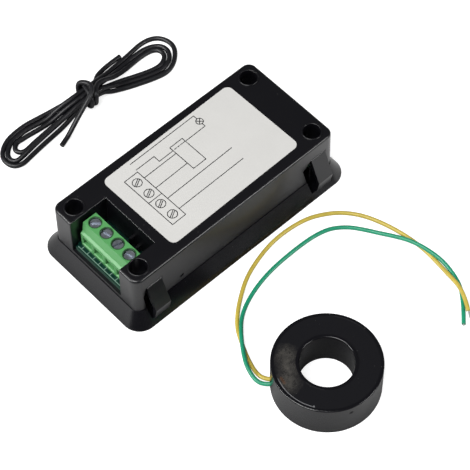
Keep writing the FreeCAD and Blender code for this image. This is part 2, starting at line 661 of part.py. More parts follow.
def rounded_plate(label, x, y, z, length, width, corner, thickness):
    body = new_body(label)
    sketch = new_sketch(body, f"{label}_outline", "XY_Plane")
    centred(sketch, length, width, corner)
    pad(body, sketch, thickness, f"{label}_plate")
    place(body, x, y, z)
    return body


lens_top = cell("front_wall") + cell("lens_flange_height")
lens = new_body("display_lens")
sketch = new_sketch(lens, "lens_outline", "XY_Plane")
centred(sketch, cell("window_length") - 0.2, cell("window_width") - 0.2, cell("window_corner") - 0.1,
        cell("window_x"))
pad(lens, sketch, lens_top, "lens_pane")
sketch = new_sketch(lens, "lens_flange_outline", "XY_Plane", cell("front_wall"))
centred(sketch, cell("window_length") + cell("lens_flange") * 2,
        cell("window_width") + cell("lens_flange") * 2, cell("window_corner"), cell("window_x"))
pad(lens, sketch, cell("lens_flange_height"), "lens_edge")
keep(lens, "display_lens")

glass = rounded_plate("display_glass", cell("window_x"), 0.0, lens_top, cell("glass_length"),
                      cell("glass_width"), 0.5, cell("glass_thickness"))
keep(glass, "display_glass")
backlight_bottom = lens_top + cell("glass_thickness")
light = box("backlight_plate", cell("window_x"), 0.0, backlight_bottom, cell("glass_length") - 2.0,
            cell("glass_width") - 1.0, cell("board_bottom") - backlight_bottom)
keep(light, "display_backlight")

button = new_body("function_button")
sketch = new_sketch(button, "button_outline", "XY_Plane", cell("button_front"))
draw_circle(sketch, cell("button_x"), 0.0, cell("button_diameter"))
flange_bottom = cell("front_wall") + 0.05
pad(button, sketch, flange_bottom - cell("button_front") + 0.1, "button_cap")
sketch = new_sketch(button, "button_flange_outline", "XY_Plane", flange_bottom)
draw_circle(sketch, cell("button_x"), 0.0, cell("button_flange"))
pad(button, sketch, cell("button_flange_height"), "button_flange")
sketch = new_sketch(button, "button_stem_outline", "XY_Plane", flange_bottom + cell("button_flange_height"))
draw_circle(sketch, cell("button_x"), 0.0, cell("button_stem"))
pad(button, sketch, cell("button_stem_height"), "button_stem")
doc.recompute()
dress(button, "Fillet", "button_edge", edges_where(button.Shape, at_height(cell("button_front").number)), 0.3)
keep(button, "function_button")

switch_body = box("switch_case", cell("button_x"), 0.0, cell("board_bottom") - cell("switch_height"),
                  cell("switch_side"), cell("switch_side"), cell("switch_height"))
plunger = cylinder("switch_plunger", cell("button_x"), 0.0,
                   cell("board_bottom") - cell("switch_height") - cell("plunger_height"),
                   cell("plunger_diameter"), cell("plunger_height") + 0.2)
keep(fused("switch", switch_body, plunger), "tact_switch")

label = rounded_plate("rear_label", cell("label_x"), cell("label_y"), cell("body_height"),
                      cell("label_length"), cell("label_width"), cell("label_corner"),
                      cell("label_thickness"))
label_turn = FreeCAD.Rotation(Vector(0, 0, 1), cell("label_turn").number)
label.Placement = FreeCAD.Placement(label.Placement.Base, label_turn)
place(label, cell("label_x"), cell("label_y"), cell("body_height"))
keep(label, "rear_label")


# Circuit parts on the board, inside the rear housing

def rounded_box(label, x, y, length, width, height, edge):
    """A moulded box with its upright and upper edges rounded."""
    raw = box(f"{label}_block", x, y, board_top, length, width, height)
    doc.recompute()
    rounding = doc.addObject("Part::Fillet", f"{label}_rounded")
    rounding.Base = raw
    upright = [i for i, e in enumerate(raw.Shape.Edges, start=1) if e.BoundBox.ZLength > height.number - 0.01]
    top = [i for i, e in enumerate(raw.Shape.Edges, start=1)
           if e.BoundBox.ZMin > (board_top + height).number - 0.01]
    rounding.Edges = [(i, edge.number, edge.number) for i in upright + top]
    return keep(rounding, label)


rounded_box("mains_capacitor", cell("film_x"), cell("film_y"), cell("film_length"), cell("film_width"),
            cell("film_height"), cell("film_edge"))
rounded_box("supply_coil", cell("coil_x"), cell("coil_y"), cell("coil_side"), cell("coil_side"),
            cell("coil_height"), cell("coil_edge"))


def can_capacitor(label, x, y, diameter, height):
    """An upright can with its crimp groove."""
    can = cylinder(f"{label}_can", x, y, board_top, diameter, height)
    crimp = doc.addObject("Part::Torus", f"{label}_crimp")
    bind(crimp, "Radius1", diameter / 2)
    bind(crimp, "Radius2", cell("crimp_radius"))
    for axis, value in (("x", x), ("y", y), ("z", board_top + cell("crimp_height"))):
        bind(crimp, f"Placement.Base.{axis}", value)
    keep(cut(f"{label}_body", can, crimp), label)


can_capacitor("storage_capacitor", cell("storage_x"), cell("storage_y"),
              cell("storage_diameter"), cell("storage_height"))
can_capacitor("filter_capacitor", cell("filter_x"), cell("filter_y"),
              cell("filter_diameter"), cell("filter_height"))

surge_x = cell("surge_x")
surge_y = cell("surge_y")
surge_middle = board_top + cell("surge_stand") + cell("surge_diameter") / 2
disc = cylinder("surge_disc", surge_x, surge_y, 0.0, cell("surge_diameter"), cell("surge_thickness"))
disc.Placement = FreeCAD.Placement(Vector(), FreeCAD.Rotation(Vector(1, 0, 0), 90))
place(disc, surge_x, surge_y + cell("surge_thickness") / 2, surge_middle)
legs = [cylinder(f"surge_leg_{name}", surge_x + cell("surge_leg_spacing") / 2 * side, surge_y, board_top,
                 cell("surge_leg"), cell("surge_stand") + cell("surge_diameter") / 2)
        for name, side in (("left", -1), ("right", 1))]
keep(fused("surge_disc_body", disc, *legs), "surge_absorber")


def chip(label, x, y, length, width, height, legs_per_side):
    """A moulded chip with a row of bent legs along each long side."""
    moulding = box(f"{label}_moulding", x, y, board_top + 0.1, length, width, height)
    reach = width / 2 + cell("leg_reach") / 2 - 0.2
    first = x - cell("leg_pitch") * ((legs_per_side - 1) / 2)
    rows = [box(f"{label}_leg_{side}_{n}", first + cell("leg_pitch") * n, y + reach * s,
                board_top, cell("leg_width"), cell("leg_reach"), cell("leg_height"))
            for side, s in (("near", -1), ("far", 1)) for n in range(legs_per_side)]
    keep(fused(f"{label}_body", moulding, *rows), label)


chip("metering_chip", cell("metering_x"), cell("metering_y"), cell("metering_length"),
     cell("metering_width"), cell("metering_height"), 8)
chip("control_chip", cell("control_x"), cell("control_y"), cell("control_length"),
     cell("control_width"), cell("control_height"), 7)


# Routes of the two leads, from the transformer's wall to their free ends

ARC_SHARE = 0.45
ON_TABLE = 0.7
OVER_LEAD = 2.1

YELLOW_ROUTE = [
    (-24.7, -60.5, 2.2), (-25.7, -57.3, 1.9), (-25.0, -52.9, 0.8), (-23.7, -48.1, ON_TABLE),
    (-22.0, -43.7, ON_TABLE), (-19.9, -39.9, ON_TABLE), (-16.0, -36.0, ON_TABLE), (-11.5, -32.6, ON_TABLE),
    (-6.1, -29.2, ON_TABLE), (0.4, -26.8, ON_TABLE), (8.0, -25.1, ON_TABLE), (15.4, -25.0, ON_TABLE),
    (22.9, -26.3, ON_TABLE), (29.1, -29.8, ON_TABLE), (32.6, -33.1, ON_TABLE), (35.2, -37.4, ON_TABLE),
    (37.1, -42.5, ON_TABLE), (38.6, -47.8, ON_TABLE), (39.6, -53.6, ON_TABLE), (40.1, -59.1, ON_TABLE),
    (39.8, -63.5, ON_TABLE), (39.2, -69.0, 1.0), (38.0, -74.6, OVER_LEAD), (36.2, -79.2, OVER_LEAD),
    (33.8, -82.9, 1.6)]
GREEN_ROUTE = [
    (-25.75, -61.45, 2.2), (-27.3, -58.7, 2.2), (-27.4, -55.2, OVER_LEAD), (-25.9, -51.0, OVER_LEAD),
    (-23.3, -46.3, OVER_LEAD), (-20.2, -41.8, OVER_LEAD), (-16.4, -38.2, 0.9), (-11.6, -35.5, ON_TABLE),
    (-5.0, -33.3, ON_TABLE), (2.0, -32.1, ON_TABLE), (9.4, -31.8, ON_TABLE), (16.0, -31.9, ON_TABLE),
    (21.0, -32.5, ON_TABLE), (25.1, -33.8, ON_TABLE), (29.0, -36.8, ON_TABLE), (32.0, -40.6, ON_TABLE),
    (34.8, -44.7, ON_TABLE), (37.2, -49.2, 1.4), (39.3, -53.8, OVER_LEAD), (40.7, -59.3, OVER_LEAD),
    (41.3, -65.2, 1.2), (40.5, -70.8, ON_TABLE), (38.6, -75.2, ON_TABLE), (36.0, -78.5, ON_TABLE),
    (33.0, -81.8, ON_TABLE), (29.9, -84.8, ON_TABLE)]


# Current transformer: annular cup, core, winding and resin

ring_x = cell("ring_x")
ring_y = cell("ring_y")


def ring(label, profiles):
    """Turn closed outlines of radius and height into a ring about the transformer's axis."""
    body = new_body(label)
    sketch = new_sketch(body, f"{label}_profile", "XZ_Plane")
    for points in profiles:
        draw_polygon(sketch, points)
    turned = body.newObject("PartDesign::Revolution", f"{label}_turned")
    turned.Profile = sketch
    turned.ReferenceAxis = (sketch, ["V_Axis"])
    turned.Angle = 360.0
    doc.recompute()
    place(body, ring_x, ring_y, 0.0)
    return body


def rectangle(r0, r1, z0, z1):
    return [(r0, z0), (r1, z0), (r1, z1), (r0, z1)]


outer = cell("ring_outer")
bore = cell("ring_bore")
top = cell("ring_height")
wall = cell("ring_wall")
resin_top = top - cell("resin_recess")
resin_bottom = resin_top - cell("resin_depth")
cup = ring("transformer_cup", [[
    (bore, 0.0), (outer, 0.0), (outer, top), (outer - wall, top), (outer - wall, cell("ring_floor")),
    (bore + wall, cell("ring_floor")), (bore + wall, top), (bore, top)]])
rims = edges_where(cup.Shape, lambda edge: (
    (at_height(0.0)(edge) or at_height(top.number)(edge))
    and min(abs(edge.BoundBox.XLength / 2 - radius.number) for radius in (outer, bore)) < 0.01))
dress(cup, "Fillet", "case_edges", rims, cell("ring_round"))
exits = []
for colour, route in (("yellow", YELLOW_ROUTE), ("green", GREEN_ROUTE)):
    heading = (Vector(*route[1]) - Vector(*route[0])).normalize()
    rod = cylinder(f"{colour}_exit", *(Vector(*route[0]) - heading * 1.2), cell("lead_diameter") - 0.1, 4.0)
    turn = FreeCAD.Rotation(Vector(0, 0, 1), heading)
    rod.Placement = FreeCAD.Placement(rod.Placement.Base, turn)
    exits.append(rod)
keep(cut("case_with_exits", cup, *exits), "transformer_case")
resin = ring("transformer_resin", [rectangle(bore + wall, outer - wall, resin_bottom, resin_top)])
keep(resin, "transformer_resin")
winding_out = outer - wall - 0.1
winding_in = bore + wall + 0.1
layer = cell("winding_thickness")
core_outline = rectangle(winding_in + layer, winding_out - layer,
                         cell("ring_floor") + layer, resin_bottom - layer)
winding_outline = rectangle(winding_in, winding_out, cell("ring_floor"), resin_bottom)
keep(ring("transformer_winding", [winding_outline, core_outline]), "transformer_winding")
keep(ring("transformer_core", [core_outline]), "transformer_core")


# Leads of the current transformer: straight runs joined by tangent arcs

def rounded_path(route):
    """Edges of a route with every inner corner replaced by a tangent arc, and the arcs' radii."""
    points = [Vector(*point) for point in route]
    edges = []
    radii = []
    start = points[0]
    for before, corner, after in zip(points, points[1:], points[2:]):
        back = (before - corner).normalize()
        ahead = (after - corner).normalize()
        turn = math.pi - back.getAngle(ahead)
        trim = ARC_SHARE * min((before - corner).Length, (after - corner).Length)
        radius = trim / math.tan(turn / 2)
        entry = corner + back * trim
        leave = corner + ahead * trim
        inward = (back + ahead).normalize()
        middle = corner + inward * (math.hypot(radius, trim) - radius)
        edges.append(Part.LineSegment(start, entry).toShape())
        edges.append(Part.Arc(entry, middle, leave).toShape())
        radii.append(radius)
        start = leave
    edges.append(Part.LineSegment(start, points[-1]).toShape())
    return edges, radii


def tube(label, edges, diameter):
    """A round tube along the edges, whose volume must match its section times its length."""
    path = Part.Wire(edges)
    first = edges[0]
    direction = first.tangentAt(first.FirstParameter)
    section = Part.Wire(Part.Circle(first.valueAt(first.FirstParameter), direction, diameter / 2).toShape())
    shape = path.makePipeShell([section], True, False)
    expected = math.pi * diameter ** 2 / 4 * path.Length
    if abs(shape.Volume / expected - 1) > 0.01:
        raise RuntimeError(f"{label}: volume {shape.Volume:.2f}, expected {expected:.2f}")
    thing = doc.addObject("Part::Feature", label)
    thing.Shape = shape
    thing.Placement = FreeCAD.Placement()
    print(f"{label}: {path.Length:.1f} mm long, volume {shape.Volume:.1f} of {expected:.1f} mm3")
    return keep(thing, label)


def lead(label, route):
    edges, radii = rounded_path(route)
    tube(label, edges, cell("lead_diameter").number)
    print(f"{label}: bend radii", ", ".join(f"{radius:.1f}" for radius in radii))


def extended(route, start, length):
    """The two ends of a straight rod that carries on from one end of a route."""
    here, neighbour = (route[0], route[1]) if start else (route[-1], route[-2])
    end = Vector(*here)
    return end, (end - Vector(*neighbour)).normalize() * length


lead("lead_yellow", YELLOW_ROUTE)
lead("lead_green", GREEN_ROUTE)

tip_start, tip_reach = extended(YELLOW_ROUTE, False, 2.4)
tip = doc.addObject("Part::Feature", "lead_tip")
tip.Shape = Part.makeCylinder(cell("strand_diameter").number / 2, tip_reach.Length, tip_start, tip_reach)
tip.Placement = FreeCAD.Placement()
keep(tip, "lead_tip")


# Spare lead: one unbroken tube folded into a hank, whose own end ties its waist and lies over it

CORD = cell("cord_diameter").number
STEP = CORD + cell("cord_gap").number
REST = CORD / 2
LEVELS = [REST + STEP * level for level in (1, 2, 3)]
WAIST_X = cell("waist_x").number
WAIST_Y = cell("waist_y").number
WAIST_HALF = cell("waist_length").number / 2
# column and level of each strand in the waist, in the order that the cord passes it
STRANDS = {1: (1, 0), 2: (-1, 0), 3: (1, 1), 4: (-1, 1), 5: (0, 1), 6: (0, 0)}
# for each end of the hank: centre of its nested loops, outer radius and spacing
LOOPS = {-1: (-25.5, 54.45, 6.05, 2.2), 1: (29.8, 53.0, 7.0, 2.3)}
LEG_SPREAD = 0.74
LEG_SLOPE = 1.1
TIE_TURNS = 2


def biarc(start, heading, end, end_heading):
    """Two arcs that join two stations smoothly: each is its start, its corner and its end."""
    chord = end - start
    both = heading + end_heading
    spare = 2 * (1 - heading.dot(end_heading))
    along = chord.dot(both)
    if spare < 1e-9:
        reach = chord.dot(chord) / (4 * chord.dot(end_heading))
    else:
        reach = (math.sqrt(along ** 2 + spare * chord.dot(chord)) - along) / spare
    first = start + heading * reach
    second = end - end_heading * reach
    middle = (first + second) / 2
    return [(start, first, middle), (middle, second, end)]


def arc_edge(start, corner, end):
    """The arc that touches both sides of a corner, and its radius; None for a straight run."""
    back = (start - corner).normalize()
    ahead = (end - corner).normalize()
    turn = math.pi - back.getAngle(ahead)
    if turn < 1e-4:
        return Part.LineSegment(start, end).toShape(), None
    trim = (start - corner).Length
    radius = trim / math.tan(turn / 2)
    inward = (back + ahead).normalize()
    middle = corner + inward * (math.hypot(radius, trim) - radius)
    return Part.Arc(start, middle, end).toShape(), radius


def leg(strand, side):
    """Stations of one strand from the waist out to the widest place of its loop."""
    column, level = STRANDS[strand]
    centre_x, centre_y, outer_radius, spacing = LOOPS[side]
    nest = (strand - 1) // 2 if side < 0 else strand // 2 - 1
    upper = strand % 2 == 1
    slot = Vector(WAIST_X + side * WAIST_HALF, WAIST_Y + column * STEP, LEVELS[level])
    reach = outer_radius - nest * spacing
    wide = Vector(centre_x, centre_y + (reach if upper else -reach), REST)
    height = slot.z if level else slot.z + (REST - slot.z) * 0.8
    middle = Vector((slot.x + wide.x) / 2, slot.y + (wide.y - slot.y) * LEG_SPREAD, height)
    slope = Vector(wide.x - slot.x, (wide.y - slot.y) * LEG_SLOPE, 0).normalize()
    outward = Vector(side, 0, 0)
    return [(slot, outward), (middle, slope), (wide, outward)]


def reversed_stations(stations):
    return [(point, heading * -1) for point, heading in reversed(stations)]


def loop_end(side, nest, downwards):
    centre_x, centre_y, outer_radius, spacing = LOOPS[side]
    reach = outer_radius - nest * spacing
    return [(Vector(centre_x + side * reach, centre_y, REST), Vector(0, -1 if downwards else 1, 0))]


def tie_turn(x, pitch, last):
    """One turn of the tie round the waist, which steps sideways under and over the strands."""
    radius = STEP
    side = WAIST_Y - 2 * radius
    far = WAIST_Y + 2 * radius
    top = LEVELS[2]
    down, up = Vector(0, 0, -1), Vector(0, 0, 1)
    near, away = Vector(0, -1, 0), Vector(0, 1, 0)
    stations = [
        (Vector(x, side, top - radius), down), (Vector(x, side, REST + radius), down),
        (Vector(x, side + radius, REST), away), (Vector(x - pitch / 2, far - radius, REST), away),
        (Vector(x - pitch / 2, far, REST + radius), up), (Vector(x - pitch / 2, far, top - radius), up),
        (Vector(x - pitch / 2, far - radius, top), near)]
    if not last:
        stations.append((Vector(x - pitch, side + radius, top), near))
    return stations


def hank_stations():
    route = [(Vector(20.9, 61.4, REST), Vector(-1, -0.05, 0).normalize()),
             (Vector(WAIST_X + WAIST_HALF, WAIST_Y + STEP, LEVELS[0]), Vector(-1, 0, 0))]
    for nest in range(3):
        route += leg(2 * nest + 1, -1) + loop_end(-1, nest, True) + reversed_stations(leg(2 * nest + 2, -1))
        route += leg(2 * nest + 2, 1) + loop_end(1, nest, False)
        if nest < 2:
            route += reversed_stations(leg(2 * nest + 3, 1))
    centre_x, centre_y, outer_radius, spacing = LOOPS[1]
    inner = centre_y + outer_radius - 2 * spacing
    tie_x = WAIST_X + WAIST_HALF - 1.3
    pitch = STEP * 1.24
    route += [(Vector(centre_x, inner, REST), Vector(-1, 0, 0)),
              (Vector(centre_x - 10.6, inner - 0.75, LEVELS[2]), Vector(-1, -0.08, 0).normalize()),
              (Vector(tie_x + STEP + 0.4, WAIST_Y, LEVELS[2]), Vector(-1, 0, 0)),
              (Vector(tie_x, WAIST_Y - STEP, LEVELS[2]), Vector(0, -1, 0))]
    for turn in range(TIE_TURNS):
        route += tie_turn(tie_x - turn * pitch, pitch, turn == TIE_TURNS - 1)
    route += [(Vector(-3.0, 52.3, LEVELS[2] + 0.4), Vector(-0.85, -0.5, 0).normalize()),
              (Vector(-8.2, 48.9, 5.9), Vector(-0.78, -0.42, -0.45).normalize()),
              (Vector(-14.5, 46.2, REST), Vector(-0.87, -0.49, -0.05).normalize())]
    return route


def least_gap(edges, diameter):
    """The least clear distance between turns, measured on points along the tube's middle line."""
    points = []
    travelled = []
    run = 0.0
    for edge in edges:
        count = max(2, int(edge.Length / 0.35))
        for index in range(count):
            points.append(edge.valueAt(edge.getParameterByLength(edge.Length * index / count)))
            travelled.append(run + edge.Length * index / count)
        run += edge.Length
    cells = {}
    for index, point in enumerate(points):
        cells.setdefault(tuple(int(c // (2 * diameter)) for c in point), []).append(index)
    least = math.inf
    shifts = [(a, b, c) for a in (-1, 0, 1) for b in (-1, 0, 1) for c in (-1, 0, 1)]
    for key, members in cells.items():
        near = [j for shift in shifts for j in cells.get(tuple(k + d for k, d in zip(key, shift)), [])]
        for i in members:
            for j in near:
                if travelled[j] - travelled[i] > 3 * diameter:
                    least = min(least, points[i].distanceToPoint(points[j]))
    return least - diameter


hank_edges = []
hank_radii = []
stations = hank_stations()
for (here, heading), (there, end_heading) in zip(stations, stations[1:]):
    if here.distanceToPoint(there) < 1e-6:
        continue
    for part_arc in biarc(here, heading, there, end_heading):
        edge, radius = arc_edge(*part_arc)
        hank_edges.append(edge)
        if radius is not None:
            hank_radii.append(radius)
gap = least_gap(hank_edges, CORD)
print(f"lead_hank: {len(hank_edges)} runs, least bend radius {min(hank_radii):.2f}, least gap {gap:.2f} mm")
if gap < 0.4 or min(hank_radii) < CORD:
    raise RuntimeError("the hank's turns are too close or too tight")
tube("lead_hank", hank_edges, CORD)


# Check and write every piece

doc.recompute()
failed = [thing.Name for thing in doc.Objects if {"Invalid", "Error"} & set(thing.State)]
if failed:
    raise RuntimeError(f"these objects failed: {failed}")
os.makedirs("parts", exist_ok=True)
for node in nodes:
    shape = node.Shape
    if shape.isNull() or not shape.isValid() or not shape.Solids:
        raise RuntimeError(f"{node.Label} has no valid solid")
    shape.exportStep(f"parts/{node.Label}.step")
print(len(nodes), "pieces written")
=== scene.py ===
"""A panel power meter that lies on its face, with its ring current transformer and a spare lead.

The frame is loaded with the meter's rigid parts in place. This script gives every part its finish,
lays the insulated leads and the tied hank, and sets the floor, the lamps and the camera.
"""

import math

import bpy
from bpy.props import FloatProperty, FloatVectorProperty, PointerProperty
from mathutils import Matrix, Vector


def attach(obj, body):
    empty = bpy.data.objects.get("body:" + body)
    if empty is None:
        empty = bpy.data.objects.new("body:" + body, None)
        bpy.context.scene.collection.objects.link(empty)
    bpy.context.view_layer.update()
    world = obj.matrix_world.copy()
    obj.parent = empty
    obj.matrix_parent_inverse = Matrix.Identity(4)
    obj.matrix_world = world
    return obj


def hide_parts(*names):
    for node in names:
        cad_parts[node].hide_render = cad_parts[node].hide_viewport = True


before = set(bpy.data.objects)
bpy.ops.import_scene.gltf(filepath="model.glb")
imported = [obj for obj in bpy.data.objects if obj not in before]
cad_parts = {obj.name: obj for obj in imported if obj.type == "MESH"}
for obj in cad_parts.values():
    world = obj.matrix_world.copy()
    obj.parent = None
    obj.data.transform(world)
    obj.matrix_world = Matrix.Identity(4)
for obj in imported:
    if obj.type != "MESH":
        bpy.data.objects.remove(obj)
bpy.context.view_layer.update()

bl_info = {
    "name": "Panel Power Meter",
    "version": (1, 0, 0),
    "blender": (4, 5, 0),
    "location": "View3D > Sidebar > Power Meter",
    "description": "Finishes, leads and studio for a panel power meter with a ring current transformer",
    "category": "Object",
}

MM = 0.001


# Routes of the transformer's leads, in metres, from the ring to the cut ends

REST = 0.0007  # height of a lead that lies on the table
OVER = 0.0021  # height of a lead that lies on the other one

YELLOW_ROUTE = [
    (-0.0247, -0.0605, 0.0022), (-0.0259, -0.0588, 0.0016), (-0.0264, -0.0555, 0.0008),
    (-0.0250, -0.0504, REST), (-0.0224, -0.0446, REST), (-0.0199, -0.0399, REST),
    (-0.0160, -0.0360, REST), (-0.0115, -0.0326, REST), (-0.0061, -0.0292, REST),
    (0.0004, -0.0268, REST), (0.0080, -0.0251, REST), (0.0154, -0.0250, REST),
    (0.0229, -0.0263, REST), (0.0291, -0.0298, REST), (0.0326, -0.0331, REST),
    (0.0354, -0.0371, REST), (0.0375, -0.0422, REST), (0.0390, -0.0476, REST),
    (0.0400, -0.0534, REST), (0.0402, -0.0590, REST), (0.0398, -0.0638, REST),
    (0.0390, -0.0692, 0.0010), (0.0380, -0.0746, OVER), (0.0362, -0.0792, OVER),
    (0.0338, -0.0829, 0.0016),
]
GREEN_ROUTE = [
    (-0.02575, -0.06145, 0.0022), (-0.0273, -0.0602, 0.0018), (-0.0284, -0.0570, 0.0013),
    (-0.0273, -0.0521, OVER), (-0.0246, -0.0476, OVER), (-0.0206, -0.0424, OVER),
    (-0.0164, -0.0382, 0.0009), (-0.0116, -0.0355, REST), (-0.0050, -0.0333, REST),
    (0.0020, -0.0321, REST), (0.0094, -0.0318, REST), (0.0160, -0.0319, REST),
    (0.0210, -0.0325, REST), (0.0251, -0.0338, REST), (0.0290, -0.0368, REST),
    (0.0318, -0.0406, REST), (0.0344, -0.0449, REST), (0.0368, -0.0494, 0.0014),
    (0.0388, -0.0540, OVER), (0.0402, -0.0595, OVER), (0.0410, -0.0652, 0.0015),
    (0.0403, -0.0708, REST), (0.0386, -0.0752, REST), (0.0360, -0.0785, REST),
    (0.0330, -0.0818, REST), (0.0299, -0.0848, REST),
]

# The spare lead, in millimetres: it is folded into three loops at each end and tied across the middle.
# In the tie its six strands lie in three columns and two levels.
WAIST_LEFT, WAIST_RIGHT = -0.3, 7.1
COLUMNS = {-1: 52.5, 0: 54.2, 1: 55.9}
LEVELS = (2.5, 4.2)
# column and level of each strand, in the order that the cord passes the tie
STRANDS = [(1, 0), (-1, 0), (1, 1), (-1, 1), (0, 1), (0, 0)]

CUT_END = [(21.6, 60.3, 0.8), (17.6, 60.3, 0.8), (13.6, 59.8, 1.1), (10.7, 58.9, 1.6), (8.9, 57.5, 2.1)]
LEFT_OUTER = [
    (-3.0, 56.9, 2.1), (-6.0, 57.8, 1.4), (-9.4, 58.5, 0.9), (-14.4, 59.4, 0.8), (-18.4, 60.0, 0.8),
    (-22.2, 59.9, 0.8), (-25.85, 59.4, 0.8), (-29.2, 57.75, 0.8), (-31.5, 55.3, 0.8), (-31.9, 52.3, 0.8),
    (-30.9, 49.9, 0.8), (-28.2, 48.9, 0.8), (-25.1, 49.4, 0.8), (-20.3, 50.1, 0.8), (-15.8, 50.6, 0.8),
    (-11.5, 51.0, 0.9), (-8.0, 51.4, 1.3), (-5.0, 51.9, 1.9), (-3.0, 52.3, 2.3)]
LEFT_MIDDLE = [
    (-3.0, 56.05, 3.9), (-6.0, 56.45, 3.3), (-9.0, 56.8, 2.2), (-12.0, 56.9, 1.1), (-15.4, 57.7, 0.8),
    (-19.3, 58.35, 0.8), (-22.6, 58.25, 0.8), (-25.75, 57.85, 0.8), (-28.45, 56.25, 0.8), (-30.0, 54.4, 0.8),
    (-30.3, 52.3, 0.8), (-29.0, 50.95, 0.85), (-26.2, 50.9, 1.4), (-22.4, 51.3, 1.9), (-17.6, 51.9, 2.0),
    (-12.6, 52.3, 2.25), (-8.6, 52.35, 2.9), (-5.0, 52.4, 3.6), (-3.0, 52.5, 4.0)]
LEFT_INNER = [
    (-3.0, 54.4, 3.8), (-6.0, 54.8, 3.0), (-9.0, 55.1, 1.9), (-12.0, 55.3, 1.0), (-14.7, 55.6, 0.8),
    (-17.5, 55.9, 0.8), (-20.5, 56.3, 0.8), (-22.3, 56.35, 0.8), (-24.4, 56.65, 0.8), (-26.1, 55.65, 0.8),
    (-26.85, 54.4, 0.8), (-26.35, 52.95, 0.8), (-24.85, 52.2, 0.8), (-23.05, 52.4, 0.8), (-20.6, 52.8, 0.8),
    (-16.9, 53.2, 0.8), (-12.1, 53.6, 0.8), (-8.1, 53.8, 1.0), (-5.0, 54.0, 1.6), (-3.0, 54.1, 2.1)]
RIGHT_OUTER = [
    (10.0, 51.0, 1.5), (12.5, 50.2, 1.0), (15.0, 49.2, 0.8), (18.9, 47.7, 0.8), (23.8, 46.0, 0.8),
    (28.4, 45.0, 0.8), (32.3, 46.3, 0.8), (35.6, 49.1, 0.8), (37.2, 52.0, 0.8), (37.0, 55.1, 0.8),
    (35.5, 57.7, 0.8), (32.9, 59.2, 0.8), (29.4, 59.6, 0.8), (25.6, 59.1, 0.8), (21.8, 58.6, 0.8),
    (17.1, 58.0, 1.2), (13.0, 57.2, 2.0), (10.0, 56.6, 3.1)]
RIGHT_MIDDLE = [
    (10.0, 52.2, 3.0), (12.5, 51.6, 2.0), (15.1, 50.9, 1.0), (19.8, 49.1, 0.8), (24.6, 47.5, 0.8),
    (28.2, 46.9, 0.8), (31.8, 48.0, 0.8), (33.7, 49.8, 0.8), (34.6, 52.1, 0.8), (34.0, 54.5, 0.8),
    (32.0, 56.2, 0.8), (28.9, 57.2, 0.8), (24.7, 57.2, 0.8), (21.0, 56.8, 0.8), (18.0, 56.2, 1.2),
    (13.5, 55.4, 2.2), (10.0, 54.9, 3.2)]
RIGHT_INNER = [
    (10.0, 53.4, 1.8), (12.5, 53.2, 1.2), (16.1, 52.3, 0.8), (20.7, 50.5, 0.8), (24.8, 49.15, 0.8),
    (28.2, 48.55, 0.8), (30.8, 49.35, 0.8), (32.6, 51.1, 0.8), (32.6, 53.4, 0.8), (31.0, 55.0, 0.8),
    (27.8, 55.6, 0.8), (23.4, 55.4, 0.9), (18.1, 54.4, 1.8), (13.5, 53.8, 3.3), (10.0, 54.0, 4.9)]
TIE = [
    (7.6, 54.0, 5.7), (5.4, 52.9, 6.0), (3.4, 50.3, 5.95), (2.9, 50.3, 0.8), (3.7, 58.1, 0.8),
    (4.0, 58.1, 5.95), (1.7, 50.3, 5.95), (1.2, 50.3, 0.8), (2.1, 58.1, 0.8), (2.3, 58.1, 5.95)]
LOOSE_END = [
    (3.2, 56.5, 7.4), (4.2, 54.0, 7.9), (3.2, 51.7, 7.9), (0.6, 50.5, 7.1), (-4.5, 49.2, 4.7),
    (-9.4, 47.9, 1.9), (-12.2, 47.0, 0.9), (-15.0, 46.1, 0.8)]


def strand(order, going):
    """The two control points of one strand in the tie, taken in the direction that it is going."""
    column, level = STRANDS[order]
    ends = [(WAIST_RIGHT, COLUMNS[column], LEVELS[level]), (WAIST_LEFT, COLUMNS[column], LEVELS[level])]
    return ends if going < 0 else ends[::-1]


def hank_route():
    """Control points of the spare lead, from its cut end through its loops and its tie to its loose end."""
    route = (CUT_END + strand(0, -1) + LEFT_OUTER + strand(1, 1) + RIGHT_OUTER + strand(2, -1) + LEFT_MIDDLE
             + strand(3, 1) + RIGHT_MIDDLE + strand(4, -1) + LEFT_INNER + strand(5, 1) + RIGHT_INNER + TIE
             + LOOSE_END)
    return [tuple(c * MM for c in point) for point in route]


# Sizes and colours that a user would change

def colour_property(name, description, default):
    return FloatVectorProperty(name=name, description=description, default=default, subtype="COLOR",
                               size=3, min=0.0, max=1.0)


class LeadSettings(bpy.types.PropertyGroup):
    lead_diameter: FloatProperty(
        name="Lead diameter", description="Outside diameter of each transformer lead",
        default=0.0013, unit="LENGTH")
    spare_diameter: FloatProperty(
        name="Spare lead diameter", description="Outside diameter of the tied spare lead",
        default=0.0016, unit="LENGTH")
    yellow: colour_property("Yellow", "Insulation of the first transformer lead", (0.58, 0.45, 0.07))
    green: colour_property("Green", "Insulation of the second transformer lead", (0.012, 0.30, 0.16))
    black: colour_property("Black", "Insulation of the spare lead", (0.0085, 0.0085, 0.0105))


class MeterSettings(bpy.types.PropertyGroup):
    plastic: colour_property("Case plastic", "Moulded case, bezel and latches", (0.0036, 0.0035, 0.0050))
    terminals: colour_property("Terminal plastic", "Moulded terminal block", (0.086, 0.31, 0.098))
    mask: colour_property("Board", "Solder mask of the circuit board", (0.0, 0.020, 0.014))
    film: colour_property("Label film", "Printed film on the back", (0.625, 0.618, 0.598))
    ink: colour_property("Label ink", "Printed lines on the back", (0.02, 0.02, 0.022))


class StageSettings(bpy.types.PropertyGroup):
    floor_reach: FloatProperty(
        name="Floor reach", description="How far the pale floor reaches round the meter",
        default=4.0, unit="LENGTH")
    floor_colour: colour_property("Floor", "Colour of the pale floor", (0.55, 0.55, 0.55))


# Node trees: small helpers, then the effects that several finishes share

